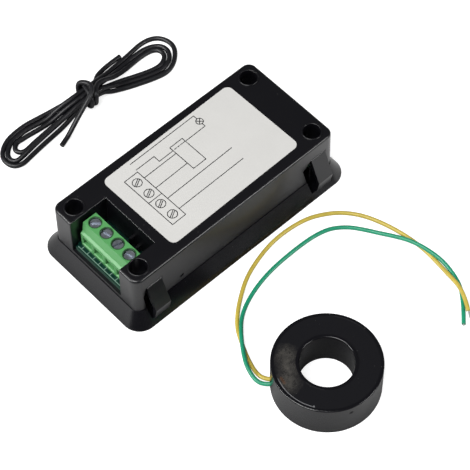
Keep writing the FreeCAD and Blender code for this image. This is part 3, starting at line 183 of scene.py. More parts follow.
class Tree:
    """Adds nodes to one node tree, each wired as it is made."""

    def __init__(self, tree):
        self.tree = tree

    def add(self, kind, inputs=None, **settings):
        node = self.tree.nodes.new("ShaderNode" + kind)
        for key, value in settings.items():
            setattr(node, key, value)
        for key, value in (inputs or {}).items():
            self.feed(node.inputs[key], value)
        return node

    def feed(self, socket, value):
        if isinstance(value, bpy.types.NodeSocket):
            self.tree.links.new(value, socket)
        elif isinstance(value, bpy.types.Node):
            self.tree.links.new(value.outputs[0], socket)
        else:
            socket.default_value = value

    def group(self, tree, inputs=None):
        node = self.tree.nodes.new("ShaderNodeGroup")
        node.node_tree = tree
        for key, value in (inputs or {}).items():
            self.feed(node.inputs[key], value)
        return node

    def maths(self, operation, first, second=0.0, clamp=False):
        return self.add("Math", {0: first, 1: second}, operation=operation, use_clamp=clamp)

    def vector(self, operation, first, second=None):
        node = self.add("VectorMath", {0: first}, operation=operation)
        if second is not None:
            self.feed(node.inputs[1], second)
        return node

    def blend(self, share, first, second):
        """A colour that goes from the first to the second as the share goes from 0 to 1."""
        node = self.add("Mix", data_type="RGBA")
        self.feed(node.inputs["Factor"], share)
        self.feed(node.inputs["A"], first)
        self.feed(node.inputs["B"], second)
        return node.outputs["Result"]

    def between(self, value, low, high, to_low=0.0, to_high=1.0, smooth=False):
        """The value, moved from one range to another and held inside it."""
        return self.add("MapRange", {"Value": value, "From Min": low, "From Max": high, "To Min": to_low,
                                     "To Max": to_high},
                        interpolation_type="SMOOTHSTEP" if smooth else "LINEAR").outputs["Result"]


def shared_effect(name, inputs, outputs):
    """An empty node group with named sockets, its input node's sockets and its output node."""
    tree = bpy.data.node_groups.new(name, "ShaderNodeTree")
    for label, kind, default in inputs:
        socket = tree.interface.new_socket(name=label, in_out="INPUT", socket_type="NodeSocket" + kind)
        if default is not None:
            socket.default_value = default
    for label, kind in outputs:
        tree.interface.new_socket(name=label, in_out="OUTPUT", socket_type="NodeSocket" + kind)
    given = tree.nodes.new("NodeGroupInput")
    result = tree.nodes.new("NodeGroupOutput")
    return Tree(tree), given.outputs, result.inputs


def moulded_grain():
    """Fine spark-eroded grain of a moulded face, and the slow unevenness of its gloss."""
    made, given, result = shared_effect(
        "moulded_grain",
        [("Place", "Vector", None), ("Grain Size", "Float", 0.25), ("Unevenness", "Float", 0.5)],
        [("Height", "Float"), ("Gloss Change", "Float")])
    fine = made.add("TexNoise", {"Vector": given["Place"], "Detail": 3.0, "Roughness": 0.6})
    made.feed(fine.inputs["Scale"], made.maths("DIVIDE", 1.0, given["Grain Size"]).outputs[0])
    slow = made.add("TexNoise", {"Vector": given["Place"], "Scale": 0.11, "Detail": 2.0})
    made.feed(result["Height"], fine.outputs["Fac"])
    change = made.maths("MULTIPLY", made.maths("SUBTRACT", slow.outputs["Fac"], 0.5), given["Unevenness"])
    made.feed(result["Gloss Change"], change.outputs[0])
    return made.tree


def edge_rub():
    """How far a corner has been rubbed: found by rounding the surface and comparing the two normals."""
    made, given, result = shared_effect(
        "edge_rub",
        [("Place", "Vector", None), ("Reach", "Float", 0.0003), ("Strength", "Float", 1.0)],
        [("Rubbed", "Float")])
    rounded = made.add("Bevel", {"Radius": given["Reach"]}, samples=4)
    surface = made.add("NewGeometry")
    same = made.vector("DOT_PRODUCT", rounded.outputs["Normal"], surface.outputs["Normal"])
    turned = made.maths("SUBTRACT", 1.0, same.outputs["Value"])
    broken = made.add("TexNoise", {"Vector": given["Place"], "Scale": 0.7, "Detail": 4.0})
    patchy = made.between(broken.outputs["Fac"], 0.35, 0.7)
    worn = made.maths("MULTIPLY", made.maths("MULTIPLY", turned, 6.0, clamp=True), patchy)
    made.feed(result["Rubbed"], made.maths("MULTIPLY", worn, given["Strength"], clamp=True).outputs[0])
    return made.tree


def painted_crevice_shade():
    """Painted shade where two parts meet or a slot narrows, darker the more closed in the surface is."""
    made, given, result = shared_effect(
        "painted_crevice_shade", [("Reach", "Float", 0.0012), ("Strength", "Float", 1.0)], [("Painted Shade", "Float")])
    near = made.add("AmbientOcclusion", {"Distance": given["Reach"]}, samples=6)
    shut = made.maths("SUBTRACT", 1.0, made.between(near.outputs["AO"], 0.25, 0.85))
    made.feed(result["Painted Shade"], made.maths("MULTIPLY", shut, given["Strength"], clamp=True).outputs[0])
    return made.tree


def fine_dust():
    """Sparse specks and lint that settle on faces that look up."""
    made, given, result = shared_effect(
        "fine_dust",
        [("Place", "Vector", None), ("Speck Spacing", "Float", 1.2), ("Amount", "Float", 0.5)],
        [("Dust", "Float")])
    cells = made.add("TexVoronoi", {"Vector": given["Place"]}, feature="F1")
    made.feed(cells.inputs["Scale"], made.maths("DIVIDE", 1.0, given["Speck Spacing"]).outputs[0])
    speck = made.between(cells.outputs["Distance"], 0.10, 0.04, smooth=True)
    chance = made.add("SeparateColor", {"Color": cells.outputs["Color"]})
    few = made.maths("LESS_THAN", chance.outputs["Red"], given["Amount"])
    surface = made.add("NewGeometry")
    up = made.add("SeparateXYZ", {"Vector": surface.outputs["Normal"]})
    facing = made.between(up.outputs["Z"], 0.3, 0.9)
    made.feed(result["Dust"], made.maths("MULTIPLY", made.maths("MULTIPLY", speck, few), facing).outputs[0])
    return made.tree


def fine_scratches():
    """Hair-thin handling marks in two directions."""
    made, given, result = shared_effect(
        "fine_scratches", [("Place", "Vector", None), ("Amount", "Float", 0.5)], [("Scratches", "Float")])
    both = None
    for angle, stretch in ((0.6, 22.0), (2.2, 30.0)):
        turned = made.add("Mapping", {"Vector": given["Place"], "Rotation": (0.0, 0.0, angle),
                                      "Scale": (0.06, stretch * 0.09, 0.4)})
        streak = made.add("TexNoise", {"Vector": turned, "Scale": 1.0, "Detail": 2.0})
        thin = made.between(streak.outputs["Fac"], 0.70, 0.76)
        both = thin if both is None else made.maths("MAXIMUM", both, thin).outputs[0]
    made.feed(result["Scratches"], made.maths("MULTIPLY", both, given["Amount"]).outputs[0])
    return made.tree


def drawn_line():
    """A line between two points, for print, marks, painted highlights and painted reflections, in millimetres
    of the place that it is given.
    """
    made, given, result = shared_effect(
        "drawn_line",
        [("Place", "Vector", None), ("Start", "Vector", None), ("End", "Vector", None),
         ("Half Width", "Float", 0.1), ("Softness", "Float", 0.03), ("Print So Far", "Float", 0.0)],
        [("Print", "Float")])
    along = made.vector("SUBTRACT", given["End"], given["Start"])
    away = made.vector("SUBTRACT", given["Place"], given["Start"])
    share = made.maths("DIVIDE", made.vector("DOT_PRODUCT", away, along).outputs["Value"],
                       made.vector("DOT_PRODUCT", along, along).outputs["Value"], clamp=True)
    foot = made.add("VectorMath", {0: along}, operation="SCALE")
    made.feed(foot.inputs["Scale"], share)
    gap = made.vector("LENGTH", made.vector("SUBTRACT", away, foot)).outputs["Value"]
    inner = made.maths("SUBTRACT", given["Half Width"], given["Softness"])
    outer = made.maths("ADD", given["Half Width"], given["Softness"])
    made.feed(result["Print"], made.maths("MAXIMUM", given["Print So Far"], made.between(gap, outer, inner)))
    return made.tree


def drawn_ring():
    """A circle round a point, for print, a painted highlight and painted shadow rings, in millimetres of the
    place that it is given.
    """
    made, given, result = shared_effect(
        "drawn_ring",
        [("Place", "Vector", None), ("Centre", "Vector", None), ("Radius", "Float", 1.0),
         ("Half Width", "Float", 0.1), ("Softness", "Float", 0.03), ("Print So Far", "Float", 0.0)],
        [("Print", "Float")])
    away = made.vector("LENGTH", made.vector("SUBTRACT", given["Place"], given["Centre"])).outputs["Value"]
    gap = made.maths("ABSOLUTE", made.maths("SUBTRACT", away, given["Radius"]))
    inner = made.maths("SUBTRACT", given["Half Width"], given["Softness"])
    outer = made.maths("ADD", given["Half Width"], given["Softness"])
    made.feed(result["Print"], made.maths("MAXIMUM", given["Print So Far"], made.between(gap, outer, inner)))
    return made.tree


EFFECTS = {}


def build_effects():
    for build in (moulded_grain, edge_rub, painted_crevice_shade, fine_dust, fine_scratches, drawn_line, drawn_ring):
        EFFECTS[build.__name__] = build()


# Finishes

GATE_TONE = (0.0008, 0.0008, 0.0010, 1.0)
DUST_TONE = (0.35, 0.34, 0.32, 1.0)
TIN = (0.62, 0.60, 0.57)

# places on the parts, in millimetres: the bores over the terminal screws, as centre and radius,
# the mark of the ring's moulding gate, and the middle of the ring
POLE_PITCH = 5.08
SCREW_BORES = [((-33.45, 6.67 - POLE_PITCH * pole), 1.95) for pole in range(4)]
RING_GATE = (-18.78, -86.47, 9.72)
RING_MIDDLE = (-13.35, -71.0)


def new_finish(name, roughness=0.4, metallic=0.0, ior=1.5, **sockets):
    """A material, its tree, its shader and the place on the part in millimetres."""
    material = bpy.data.materials.new(name)
    material.use_nodes = True
    made = Tree(material.node_tree)
    shader = material.node_tree.nodes["Principled BSDF"]
    for key, value in {"Roughness": roughness, "Metallic": metallic, "IOR": ior, **sockets}.items():
        shader.inputs[key].default_value = value
    part = made.add("TexCoord").outputs["Object"]
    place = made.add("Mapping", {"Vector": part, "Scale": (MM, MM, MM)}, vector_type="TEXTURE").outputs[0]
    return material, made, shader, place


def rgba(colour):
    return (*colour, 1.0)


def darker(colour, share):
    """The colour at a share of its strength, as a shader takes it."""
    return rgba(tuple(c * share for c in colour))


def bump(made, shader, height, distance, strength):
    node = made.add("Bump", {"Height": height, "Distance": distance, "Strength": strength})
    made.feed(shader.inputs["Normal"], node)


def moulded_plastic(name, colour, roughness, grain=0.25, depth=0.000004, dust=0.2, rub=0.4, lift=2.6,
                    smudge_and_painted_shade=0.0, gloss_coat=0.0, spot=None, rings=()):
    """Injection-moulded plastic: grain, uneven gloss, rubbed corners, hairline marks and dust, with painted
    shade in its crevices and painted shadow rings round given bores.
    """
    material, made, shader, place = new_finish(
        name, **{"Coat Weight": gloss_coat, "Coat Roughness": 0.07})
    grains = made.group(EFFECTS["moulded_grain"], {"Place": place, "Grain Size": grain, "Unevenness": 0.08})
    rubbed = made.group(EFFECTS["edge_rub"], {"Place": place, "Reach": 0.00025, "Strength": rub})
    specks = made.group(EFFECTS["fine_dust"], {"Place": place, "Speck Spacing": 1.1, "Amount": dust})
    marks = made.group(EFFECTS["fine_scratches"], {"Place": place, "Amount": 0.5})
    pale = tuple(min(1.0, c * lift + 0.006) for c in colour)
    tone = made.blend(rubbed.outputs["Rubbed"], rgba(colour), rgba(pale))
    tone = made.blend(made.maths("MULTIPLY", specks.outputs["Dust"], 0.35), tone, DUST_TONE)
    # painted shade: the colour darkens where the surface is closed in, in crevices and recesses
    shut = made.group(EFFECTS["painted_crevice_shade"], {"Reach": 0.0014, "Strength": smudge_and_painted_shade})
    tone = made.blend(shut.outputs["Painted Shade"], tone, darker(colour, 0.12))
    # painted shadow: a dark ring round each given bore
    if rings:
        shadow = printed(made, flat_place(made, place), [], rings, 0.2)
        tone = made.blend(made.maths("MULTIPLY", shadow, 0.85), tone, darker(colour, 0.1))
    rough = made.maths("ADD", grains.outputs["Gloss Change"], roughness)
    if spot:
        mark = made.group(EFFECTS["drawn_line"], {"Place": place, "Start": spot, "Half Width": 0.55,
                                                  "End": (spot[0] + 0.05, spot[1], spot[2]), "Softness": 0.2})
        tone = made.blend(mark.outputs[0], tone, GATE_TONE)
        rough = made.maths("ADD", rough, made.maths("MULTIPLY", mark.outputs[0], 0.75))
    made.feed(shader.inputs["Base Color"], tone)
    rough = made.maths("ADD", rough, made.maths("MULTIPLY", marks.outputs["Scratches"], 0.12), clamp=True)
    rough = made.maths("ADD", rough, made.maths("MULTIPLY", specks.outputs["Dust"], 0.3), clamp=True)
    made.feed(shader.inputs["Roughness"], rough)
    bump(made, shader, grains.outputs["Height"], depth, 0.6)
    return material


def worked_metal(name, colour, roughness):
    """Plated metal with drawn streaks, duller patches and painted shade in its crevices."""
    material, made, shader, place = new_finish(name, metallic=1.0)
    drawn = made.add("Mapping", {"Vector": place, "Scale": (0.4, 8.0, 0.4)})
    streak = made.add("TexNoise", {"Vector": drawn, "Scale": 1.5, "Detail": 4.0, "Roughness": 0.7})
    patch = made.add("TexNoise", {"Vector": place, "Scale": 0.8, "Detail": 3.0})
    share = made.between(patch.outputs["Fac"], 0.45, 0.75, 0.0, 0.8)
    tone = made.blend(share, rgba(colour), darker(colour, 0.55))
    # painted shade in crevices and slots
    shut = made.group(EFFECTS["painted_crevice_shade"], {"Reach": 0.0009, "Strength": 0.5})
    tone = made.blend(shut.outputs["Painted Shade"], tone, darker(colour, 0.08))
    made.feed(shader.inputs["Base Color"], tone)
    made.feed(shader.inputs["Roughness"],
              made.between(streak.outputs["Fac"], 0.2, 0.8, roughness, roughness + 0.25))
    bump(made, shader, streak.outputs["Fac"], 0.000006, 0.5)
    return material


# the diagram on the label, in millimetres from the label's middle, and in degrees
LABEL_MIDDLE = (2.95, 0.2)
LABEL_TURN = 0.95
LABEL_LINE = 0.14  # half the width of a printed line
PRINT_SOFTNESS = 0.02
TERMINAL_LEFT, TERMINAL_RIGHT, TERMINAL_LOW, TERMINAL_HIGH = -21.2, -15.95, -10.3, 10.8
SPLIT = 0.12
POLE_X, POLE_RADIUS = -18.65, 1.5
POLE_HEIGHTS = (7.95, 2.75, -2.4, -7.5)
SLOT_WAY, SLOT_SIDE, SLOT_REACH = (0.872, 0.489), 0.27, 1.4
BOX_LEFT, BOX_RIGHT, BOX_HIGH = -3.0, 2.05, 10.6
LAMP_X, LAMP_Y, LAMP_RADIUS, LAMP_CROSS = 10.23, 11.62, 1.15, 0.8
# the wires, each through its own points
WIRES = [
    [(TERMINAL_RIGHT, 7.8), (BOX_LEFT, 7.8)],
    [(TERMINAL_RIGHT, 2.75), (BOX_LEFT, 2.85)],
    [(TERMINAL_RIGHT, -2.4), (10.4, -2.25)],
    [(TERMINAL_RIGHT, -7.45), (10.2, -7.5)],
    [(-15.6, 14.35), (10.25, 14.35), (10.25, 12.85)],
    [(10.22, 10.4), (10.2, 9.15), (BOX_RIGHT, 9.12)],
    [(-15.75, 11.6), (-8.6, 11.55), (-8.6, 9.15), (BOX_LEFT, 9.15)],
]
DASHES_Y, DASH_LENGTH, DASH_STARTS = 9.2, 0.75, (-2.3, -1.1, 0.1, 1.2)


def outline(x0, y0, x1, y1):
    corners = [(x0, y0), (x1, y0), (x1, y1), (x0, y1)]
    return [(corners[i], corners[(i + 1) % 4]) for i in range(4)]


def label_lines():
    """Every straight line of the wiring diagram, as its start and its end."""
    lines = outline(TERMINAL_LEFT, TERMINAL_LOW, TERMINAL_RIGHT, TERMINAL_HIGH)
    lines += [((TERMINAL_LEFT, SPLIT), (TERMINAL_RIGHT, SPLIT))]
    across, up = SLOT_WAY
    for y in POLE_HEIGHTS:
        for side in (-SLOT_SIDE, SLOT_SIDE):
            middle = (POLE_X - side * up, y + side * across)
            lines += [((middle[0] - SLOT_REACH * across, middle[1] - SLOT_REACH * up),
                       (middle[0] + SLOT_REACH * across, middle[1] + SLOT_REACH * up))]
    lines += outline(BOX_LEFT, SPLIT, BOX_RIGHT, BOX_HIGH)
    for wire in WIRES:
        lines += zip(wire, wire[1:])
    lines += [((x, DASHES_Y), (x + DASH_LENGTH, DASHES_Y)) for x in DASH_STARTS]
    for rise in (LAMP_CROSS, -LAMP_CROSS):
        lines += [((LAMP_X - LAMP_CROSS, LAMP_Y - rise), (LAMP_X + LAMP_CROSS, LAMP_Y + rise))]
    return lines


def label_rings():
    """The circles of the wiring diagram, as centre and radius."""
    return [((POLE_X, y), POLE_RADIUS) for y in POLE_HEIGHTS] + [((LAMP_X, LAMP_Y), LAMP_RADIUS)]


def printed(made, place, lines, rings, half_width):
    """All the lines and rings of a print, each added to the ones before it, as one mask; the same mask also
    draws painted shadow rings.
    """
    marks = [("drawn_line", {"Start": (*start, 0.0), "End": (*end, 0.0)}) for start, end in lines]
    marks += [("drawn_ring", {"Centre": (*centre, 0.0), "Radius": radius}) for centre, radius in rings]
    mask = 0.0
    for effect, shape in marks:
        mask = made.group(EFFECTS[effect], {"Place": place, "Half Width": half_width, **shape,
                                            "Softness": PRINT_SOFTNESS, "Print So Far": mask}).outputs[0]
    return mask


def flat_place(made, place):
    """The place with its height taken out, for prints on a level face."""
    return made.vector("MULTIPLY", place, (1.0, 1.0, 0.0)).outputs[0]


def label_finish(film, ink):
    """Satin film with a printed diagram and a faint paper fibre under it."""
    material, made, shader, place = new_finish("label_film", roughness=0.42)
    centred = made.add("Mapping", {"Vector": place, "Location": (*LABEL_MIDDLE, 0.0),
                                   "Rotation": (0.0, 0.0, math.radians(LABEL_TURN))}, vector_type="TEXTURE")
    level = flat_place(made, centred.outputs[0])
    mask = printed(made, level, label_lines(), label_rings(), LABEL_LINE)
    fibre = made.add("TexNoise", {"Vector": place, "Scale": 1.6, "Detail": 5.0, "Roughness": 0.65})
    mottle = made.add("TexNoise", {"Vector": place, "Scale": 0.12, "Detail": 2.0})
    share = made.maths("ADD", made.between(fibre.outputs["Fac"], 0.3, 0.7, 0.0, 0.5),
                       made.between(mottle.outputs["Fac"], 0.35, 0.65, 0.0, 0.5))
    paper = made.blend(share, darker(film, 0.955), rgba(film))
    made.feed(shader.inputs["Base Color"], made.blend(mask, paper, rgba(ink)))
    made.feed(shader.inputs["Roughness"], made.between(mask, 0.0, 1.0, 0.42, 0.3))
    bump(made, shader, fibre.outputs["Fac"], 0.000004, 0.5)
    return material


# the white print on the board's tongue, in millimetres
SILK_X, SILK_LOW, SILK_HIGH, SILK_TICK_END = -38.62, -10.2, 9.3, -37.2
SILK_TICKS = [8.05 - POLE_PITCH / 2 * step for step in range(8)]
SILK_LINE = 0.11  # half the width of a printed line
SILK_TONE = (0.20, 0.32, 0.26, 1.0)


def board_finish(mask_colour):
    """Solder mask over copper tracks, white component print, and the glass-fibre edge."""
    material, made, shader, place = new_finish("board_mask", roughness=0.28, **{"Coat Weight": 0.3})
    level = flat_place(made, place)
    lines = [((SILK_X, SILK_LOW), (SILK_X, SILK_HIGH))]
    lines += [((SILK_X, y), (SILK_TICK_END, y)) for y in SILK_TICKS]
    silk = printed(made, level, lines, [], SILK_LINE)
    tracks = made.add("TexBrick", {"Vector": place, "Scale": 1.0, "Mortar Size": 0.22, "Mortar Smooth": 0.2,
                                   "Brick Width": POLE_PITCH, "Row Height": POLE_PITCH / 4}, offset=0.5)
    tracks.inputs["Color1"].default_value = (0, 0, 0, 1)
    tracks.inputs["Color2"].default_value = (0.4, 0.4, 0.4, 1)
    tracks.inputs["Mortar"].default_value = (1, 1, 1, 1)
    copper = made.between(tracks.outputs["Color"], 0.2, 0.9, 0.0, 0.55)
    tone = made.blend(copper, rgba(mask_colour), rgba(tuple(c * 1.7 + 0.004 for c in mask_colour)))
    surface = made.add("SeparateXYZ", {"Vector": made.add("NewGeometry").outputs["Normal"]})
    upward = made.between(surface.outputs["Z"], 0.5, 0.9)
    tone = made.blend(made.maths("MULTIPLY", silk, upward), tone, SILK_TONE)
    side = made.maths("SUBTRACT", 1.0, made.between(made.maths("ABSOLUTE", surface.outputs["Z"]), 0.3, 0.7))
    weave = made.add("TexWave", {"Vector": place, "Scale": 3.0, "Distortion": 2.0}, bands_direction="Z")
    edge = made.blend(weave.outputs["Fac"], (0.004, 0.030, 0.018, 1.0), (0.012, 0.055, 0.034, 1.0))
    made.feed(shader.inputs["Base Color"], made.blend(side, tone, edge))
    made.feed(shader.inputs["Roughness"], made.between(side, 0.0, 1.0, 0.28, 0.6))
    bump(made, shader, made.maths("ADD", copper, silk), 0.00002, 0.6)
    return material


# marks on the resin, in millimetres from the ring's middle: a smear that is hazy and lighter with a painted
# reflection, a rusty speck, and a painted highlight along the meniscus and on a dot
MENISCUS_RADIUS = 15.15
MENISCUS_WAY, MENISCUS_FROM, MENISCUS_FULL = (-0.996, -0.087, 0.0), 13.35, 13.9
HIGHLIGHT_DOT = ((-12.90, -7.85, 0.0), (-12.80, -7.75, 0.0))
SMEAR = ((-7.0, 9.6, 0.0), (-13.0, 2.4, 0.0))
SMEAR_TURN = -0.81
RUST = ((-13.3, 5.2, 0.0), (-13.7, 3.4, 0.0))
RESIN_TONE = (0.0078, 0.0078, 0.0095, 1.0)
SMEAR_REFLECTION_TONE = (0.070, 0.065, 0.057, 1.0)
RUST_TONE = (0.10, 0.045, 0.02, 1.0)
RESIN_DUST_TONE = (0.3, 0.29, 0.27, 1.0)
MENISCUS_HIGHLIGHT_TONE = (0.30, 0.30, 0.31, 1.0)


def resin_finish():
    """Black potting resin: glossy, with a hazy smear lightened by a painted reflection, a rusty speck, and a
    painted highlight on a thin meniscus by the rim.
    """
    material, made, shader, place = new_finish("potting_resin")
    centred = made.add("Mapping", {"Vector": place, "Location": (*RING_MIDDLE, 0.0)}, vector_type="TEXTURE")
    level = flat_place(made, centred.outputs[0])

    def stroke(where, ends, half_width, softness):
        return made.group(EFFECTS["drawn_line"], {"Place": where, "Start": ends[0], "End": ends[1],
                                                  "Half Width": half_width, "Softness": softness}).outputs[0]

    ripple = made.add("TexNoise", {"Vector": place, "Scale": 0.16, "Detail": 2.0})
    drawn_out = made.add("Mapping", {"Vector": level, "Rotation": (0.0, 0.0, SMEAR_TURN),
                                     "Scale": (0.8, 1.3, 1.0)})
    torn = made.add("TexNoise", {"Vector": level, "Scale": 0.45, "Detail": 4.0, "Roughness": 0.65})
    ragged = made.vector("SCALE", made.vector("SUBTRACT", torn.outputs["Color"], (0.5, 0.5, 0.5)))
    ragged.inputs["Scale"].default_value = 5.0
    ragged = flat_place(made, made.vector("ADD", level, ragged).outputs[0])
    film = made.add("TexNoise", {"Vector": drawn_out, "Scale": 0.7, "Detail": 6.0, "Roughness": 0.6})
    fine = made.add("TexNoise", {"Vector": place, "Scale": 3.4, "Detail": 4.0, "Roughness": 0.75})
    haze_and_reflection = made.maths("MULTIPLY", stroke(ragged, SMEAR, 2.0, 2.0),
                      made.between(film.outputs["Fac"], 0.28, 0.60, 0.35, 1.0))
    haze_and_reflection = made.maths("MULTIPLY", haze_and_reflection, made.between(fine.outputs["Fac"], 0.36, 0.58, 0.45, 1.0))
    # painted reflection: the smear is lighter in colour, as well as rougher below
    tone = made.blend(haze_and_reflection, RESIN_TONE, SMEAR_REFLECTION_TONE)
    rust = made.maths("MULTIPLY", stroke(level, RUST, 0.35, 0.3), fine.outputs["Fac"])
    tone = made.blend(rust, tone, RUST_TONE)
    specks = made.group(EFFECTS["fine_dust"], {"Place": place, "Speck Spacing": 0.9, "Amount": 0.16})
    tone = made.blend(made.maths("MULTIPLY", specks.outputs["Dust"], 0.3), tone, RESIN_DUST_TONE)
    # painted highlight: a thin light arc along the meniscus and a light dot
    rim = made.group(EFFECTS["drawn_ring"], {"Place": level, "Radius": MENISCUS_RADIUS, "Half Width": 0.10,
                                             "Softness": 0.06})
    across = made.vector("DOT_PRODUCT", level, MENISCUS_WAY).outputs["Value"]
    meniscus = made.maths("MULTIPLY", rim.outputs[0], made.between(across, MENISCUS_FROM, MENISCUS_FULL))
    meniscus = made.maths("MAXIMUM", meniscus, stroke(level, HIGHLIGHT_DOT, 0.22, 0.1))
    tone = made.blend(made.maths("MULTIPLY", meniscus, 0.6), tone, MENISCUS_HIGHLIGHT_TONE)
    made.feed(shader.inputs["Base Color"], tone)
    made.feed(shader.inputs["Roughness"], made.between(haze_and_reflection, 0.0, 1.0, 0.16, 0.5))
    relief = made.maths("ADD", ripple.outputs["Fac"], made.maths("MULTIPLY", film.outputs["Fac"], 0.02))
    bump(made, shader, relief, 0.00006, 0.6)
    return material


def cord_finish(name, colour, roughness):
    """Extruded insulation: a faint waver in its colour, and smudges in its gloss."""
    material, made, shader, place = new_finish(name, roughness=roughness)
    waver = made.add("TexNoise", {"Vector": place, "Scale": 0.35, "Detail": 3.0})
    smudge_and_painted_shade = made.add("TexNoise", {"Vector": place, "Scale": 1.8, "Detail": 5.0, "Roughness": 0.7})
    share = made.between(waver.outputs["Fac"], 0.35, 0.7, 0.0, 0.6)
    made.feed(shader.inputs["Base Color"], made.blend(share, rgba(colour), darker(colour, 0.78)))
    made.feed(shader.inputs["Roughness"],
              made.between(smudge_and_painted_shade.outputs["Fac"], 0.3, 0.75, roughness - 0.06, roughness + 0.12))
    bump(made, shader, smudge_and_painted_shade.outputs["Fac"], 0.000012, 0.5)
    return material


def clear_pane():
    """Smoke-tinted acrylic of the display window."""
    material, made, shader, place = new_finish("clear_acrylic", roughness=0.04, ior=1.49,
                                               **{"Transmission Weight": 1.0})
    marks = made.group(EFFECTS["fine_scratches"], {"Place": place, "Amount": 0.5})
    made.feed(shader.inputs["Base Color"],
              made.blend(marks.outputs["Scratches"], (0.78, 0.80, 0.80, 1.0), (0.9, 0.9, 0.9, 1.0)))
    made.feed(shader.inputs["Roughness"], made.between(marks.outputs["Scratches"], 0.0, 1.0, 0.04, 0.22))
    return material


def cell_glass():
    """Display glass at rest, with the faint grid of its electrodes."""
    material, made, shader, place = new_finish("cell_glass", roughness=0.10, **{"Coat Weight": 0.5})
    grid = made.add("TexBrick", {"Vector": place, "Scale": 1.0, "Mortar Size": 0.12, "Mortar Smooth": 0.5,
                                 "Brick Width": 4.6, "Row Height": 9.0}, offset=0.0)
    grid.inputs["Color1"].default_value = (0.055, 0.075, 0.060, 1)
    grid.inputs["Color2"].default_value = (0.050, 0.070, 0.058, 1)
    grid.inputs["Mortar"].default_value = (0.075, 0.098, 0.080, 1)
    made.feed(shader.inputs["Base Color"], grid.outputs["Color"])
    made.feed(shader.inputs["Roughness"], made.between(grid.outputs["Fac"], 0.0, 1.0, 0.10, 0.2))
    return material


def wound_copper():
    """Close turns of enamelled wire round the core."""
    material, made, shader, place = new_finish("enamelled_copper", roughness=0.3, metallic=0.9)
    turns = made.add("TexWave", {"Vector": place, "Scale": 3.2, "Distortion": 1.2, "Detail": 1.0},
                     wave_type="RINGS", rings_direction="Z")
    made.feed(shader.inputs["Base Color"],
              made.blend(turns.outputs["Fac"], (0.30, 0.075, 0.02, 1.0), (0.62, 0.22, 0.08, 1.0)))
    bump(made, shader, turns.outputs["Fac"], 0.0001, 0.7)
    return material


# the finish of each kind of part
FINISHES = {
    "front_bezel": "bezel_plastic", "rear_housing": "case_plastic", "snap_latch": "case_plastic",
    "terminal_block": "terminal_plastic", "terminal_screw": "zinc_screw", "terminal_cage": "plated_steel",
    "terminal_contact": "tinned_copper", "case_screw": "black_screw", "main_board": "board",
    "rear_label": "label", "display_lens": "acrylic", "display_glass": "glass",
    "display_backlight": "diffuser",
    "function_button": "button_plastic", "tact_switch": "switch_plastic", "mains_capacitor": "film_box",
    "supply_coil": "ferrite", "storage_capacitor": "sleeve", "filter_capacitor": "sleeve",
    "surge_absorber": "blue_coat", "metering_chip": "chip_plastic", "control_chip": "chip_plastic",
    "transformer_case": "ring_plastic", "transformer_resin": "resin", "transformer_winding": "copper",
    "transformer_core": "ferrite",
}


def build_finishes(settings):
    black = tuple(settings.plastic)
    return {
        "bezel_plastic": moulded_plastic("black_moulded_bezel", black, 0.17, dust=0.10),
        "case_plastic": moulded_plastic("black_moulded_case", black, 0.31, dust=0.10, gloss_coat=0.10),
        "ring_plastic": moulded_plastic("black_moulded_ring", black, 0.20, dust=0.12, spot=RING_GATE),
        # the green block: painted shade in its recesses and a painted shadow ring round each screw bore
        "terminal_plastic": moulded_plastic(
            "green_moulded_block", tuple(settings.terminals), 0.38, grain=0.18, dust=0.05, rub=0.3, lift=1.25,
            smudge_and_painted_shade=0.65, rings=SCREW_BORES),
        "button_plastic": moulded_plastic("button_plastic", (0.02, 0.02, 0.022), 0.3, dust=0.1),
        "switch_plastic": moulded_plastic("switch_plastic", (0.008, 0.008, 0.008), 0.4, dust=0.2),
        "film_box": moulded_plastic("film_capacitor_box", (0.42, 0.30, 0.02), 0.35, rub=0.2, lift=1.2),
        "sleeve": moulded_plastic("capacitor_sleeve", (0.01, 0.012, 0.03), 0.3, rub=0.5),
        "blue_coat": moulded_plastic("surge_coating", (0.02, 0.08, 0.22), 0.3, grain=0.5, depth=0.00002),
        "chip_plastic": moulded_plastic("chip_moulding", (0.012, 0.012, 0.012), 0.55, grain=0.12),
        "ferrite": moulded_plastic("grey_ferrite", (0.03, 0.03, 0.032), 0.6, grain=0.3, depth=0.00002),
        "diffuser": moulded_plastic("backlight_diffuser", (0.65, 0.66, 0.66), 0.5, rub=0.0, lift=1.0),
        "zinc_screw": worked_metal("zinc_plated_screw", (0.50, 0.54, 0.61), 0.28),
        "plated_steel": worked_metal("nickel_plated_steel", (0.55, 0.54, 0.52), 0.3),
        "tinned_copper": worked_metal("tinned_copper", (0.62, 0.60, 0.56), 0.25),
        "black_screw": worked_metal("blackened_screw", (0.06, 0.06, 0.065), 0.35),
        "board": board_finish(tuple(settings.mask)),
        "label": label_finish(tuple(settings.film), tuple(settings.ink)),
        "acrylic": clear_pane(),
        "glass": cell_glass(),
        "resin": resin_finish(),
        "copper": wound_copper(),
    }


def finish_node(node, material):
    """Put a material in every slot of a part that the frame brought in."""
    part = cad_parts[node]
    if not part.material_slots:
        part.data.materials.append(material)
    for slot in part.material_slots:
        slot.material = material


def kind_of(node):
    """The name of a part without the number that tells like parts from each other."""
    head, _, tail = node.rpartition("_")
    return head if tail.isdigit() else node


# Cords

# piece, solid that it replaces, route, length, slot in the record and reach of its bare strands, in metres
LEADS = [
    ("yellow_lead", "lead_yellow", YELLOW_ROUTE, 0.1333, "yellow_insulation", 0.0024),
    ("green_lead", "lead_green", GREEN_ROUTE, 0.1299, "green_insulation", 0.0004),
]
LEAD_CORE = 0.0007  # across the seven strands
STRAND_LAY = math.radians(95.0) / 0.0024  # turn of the strands for each metre


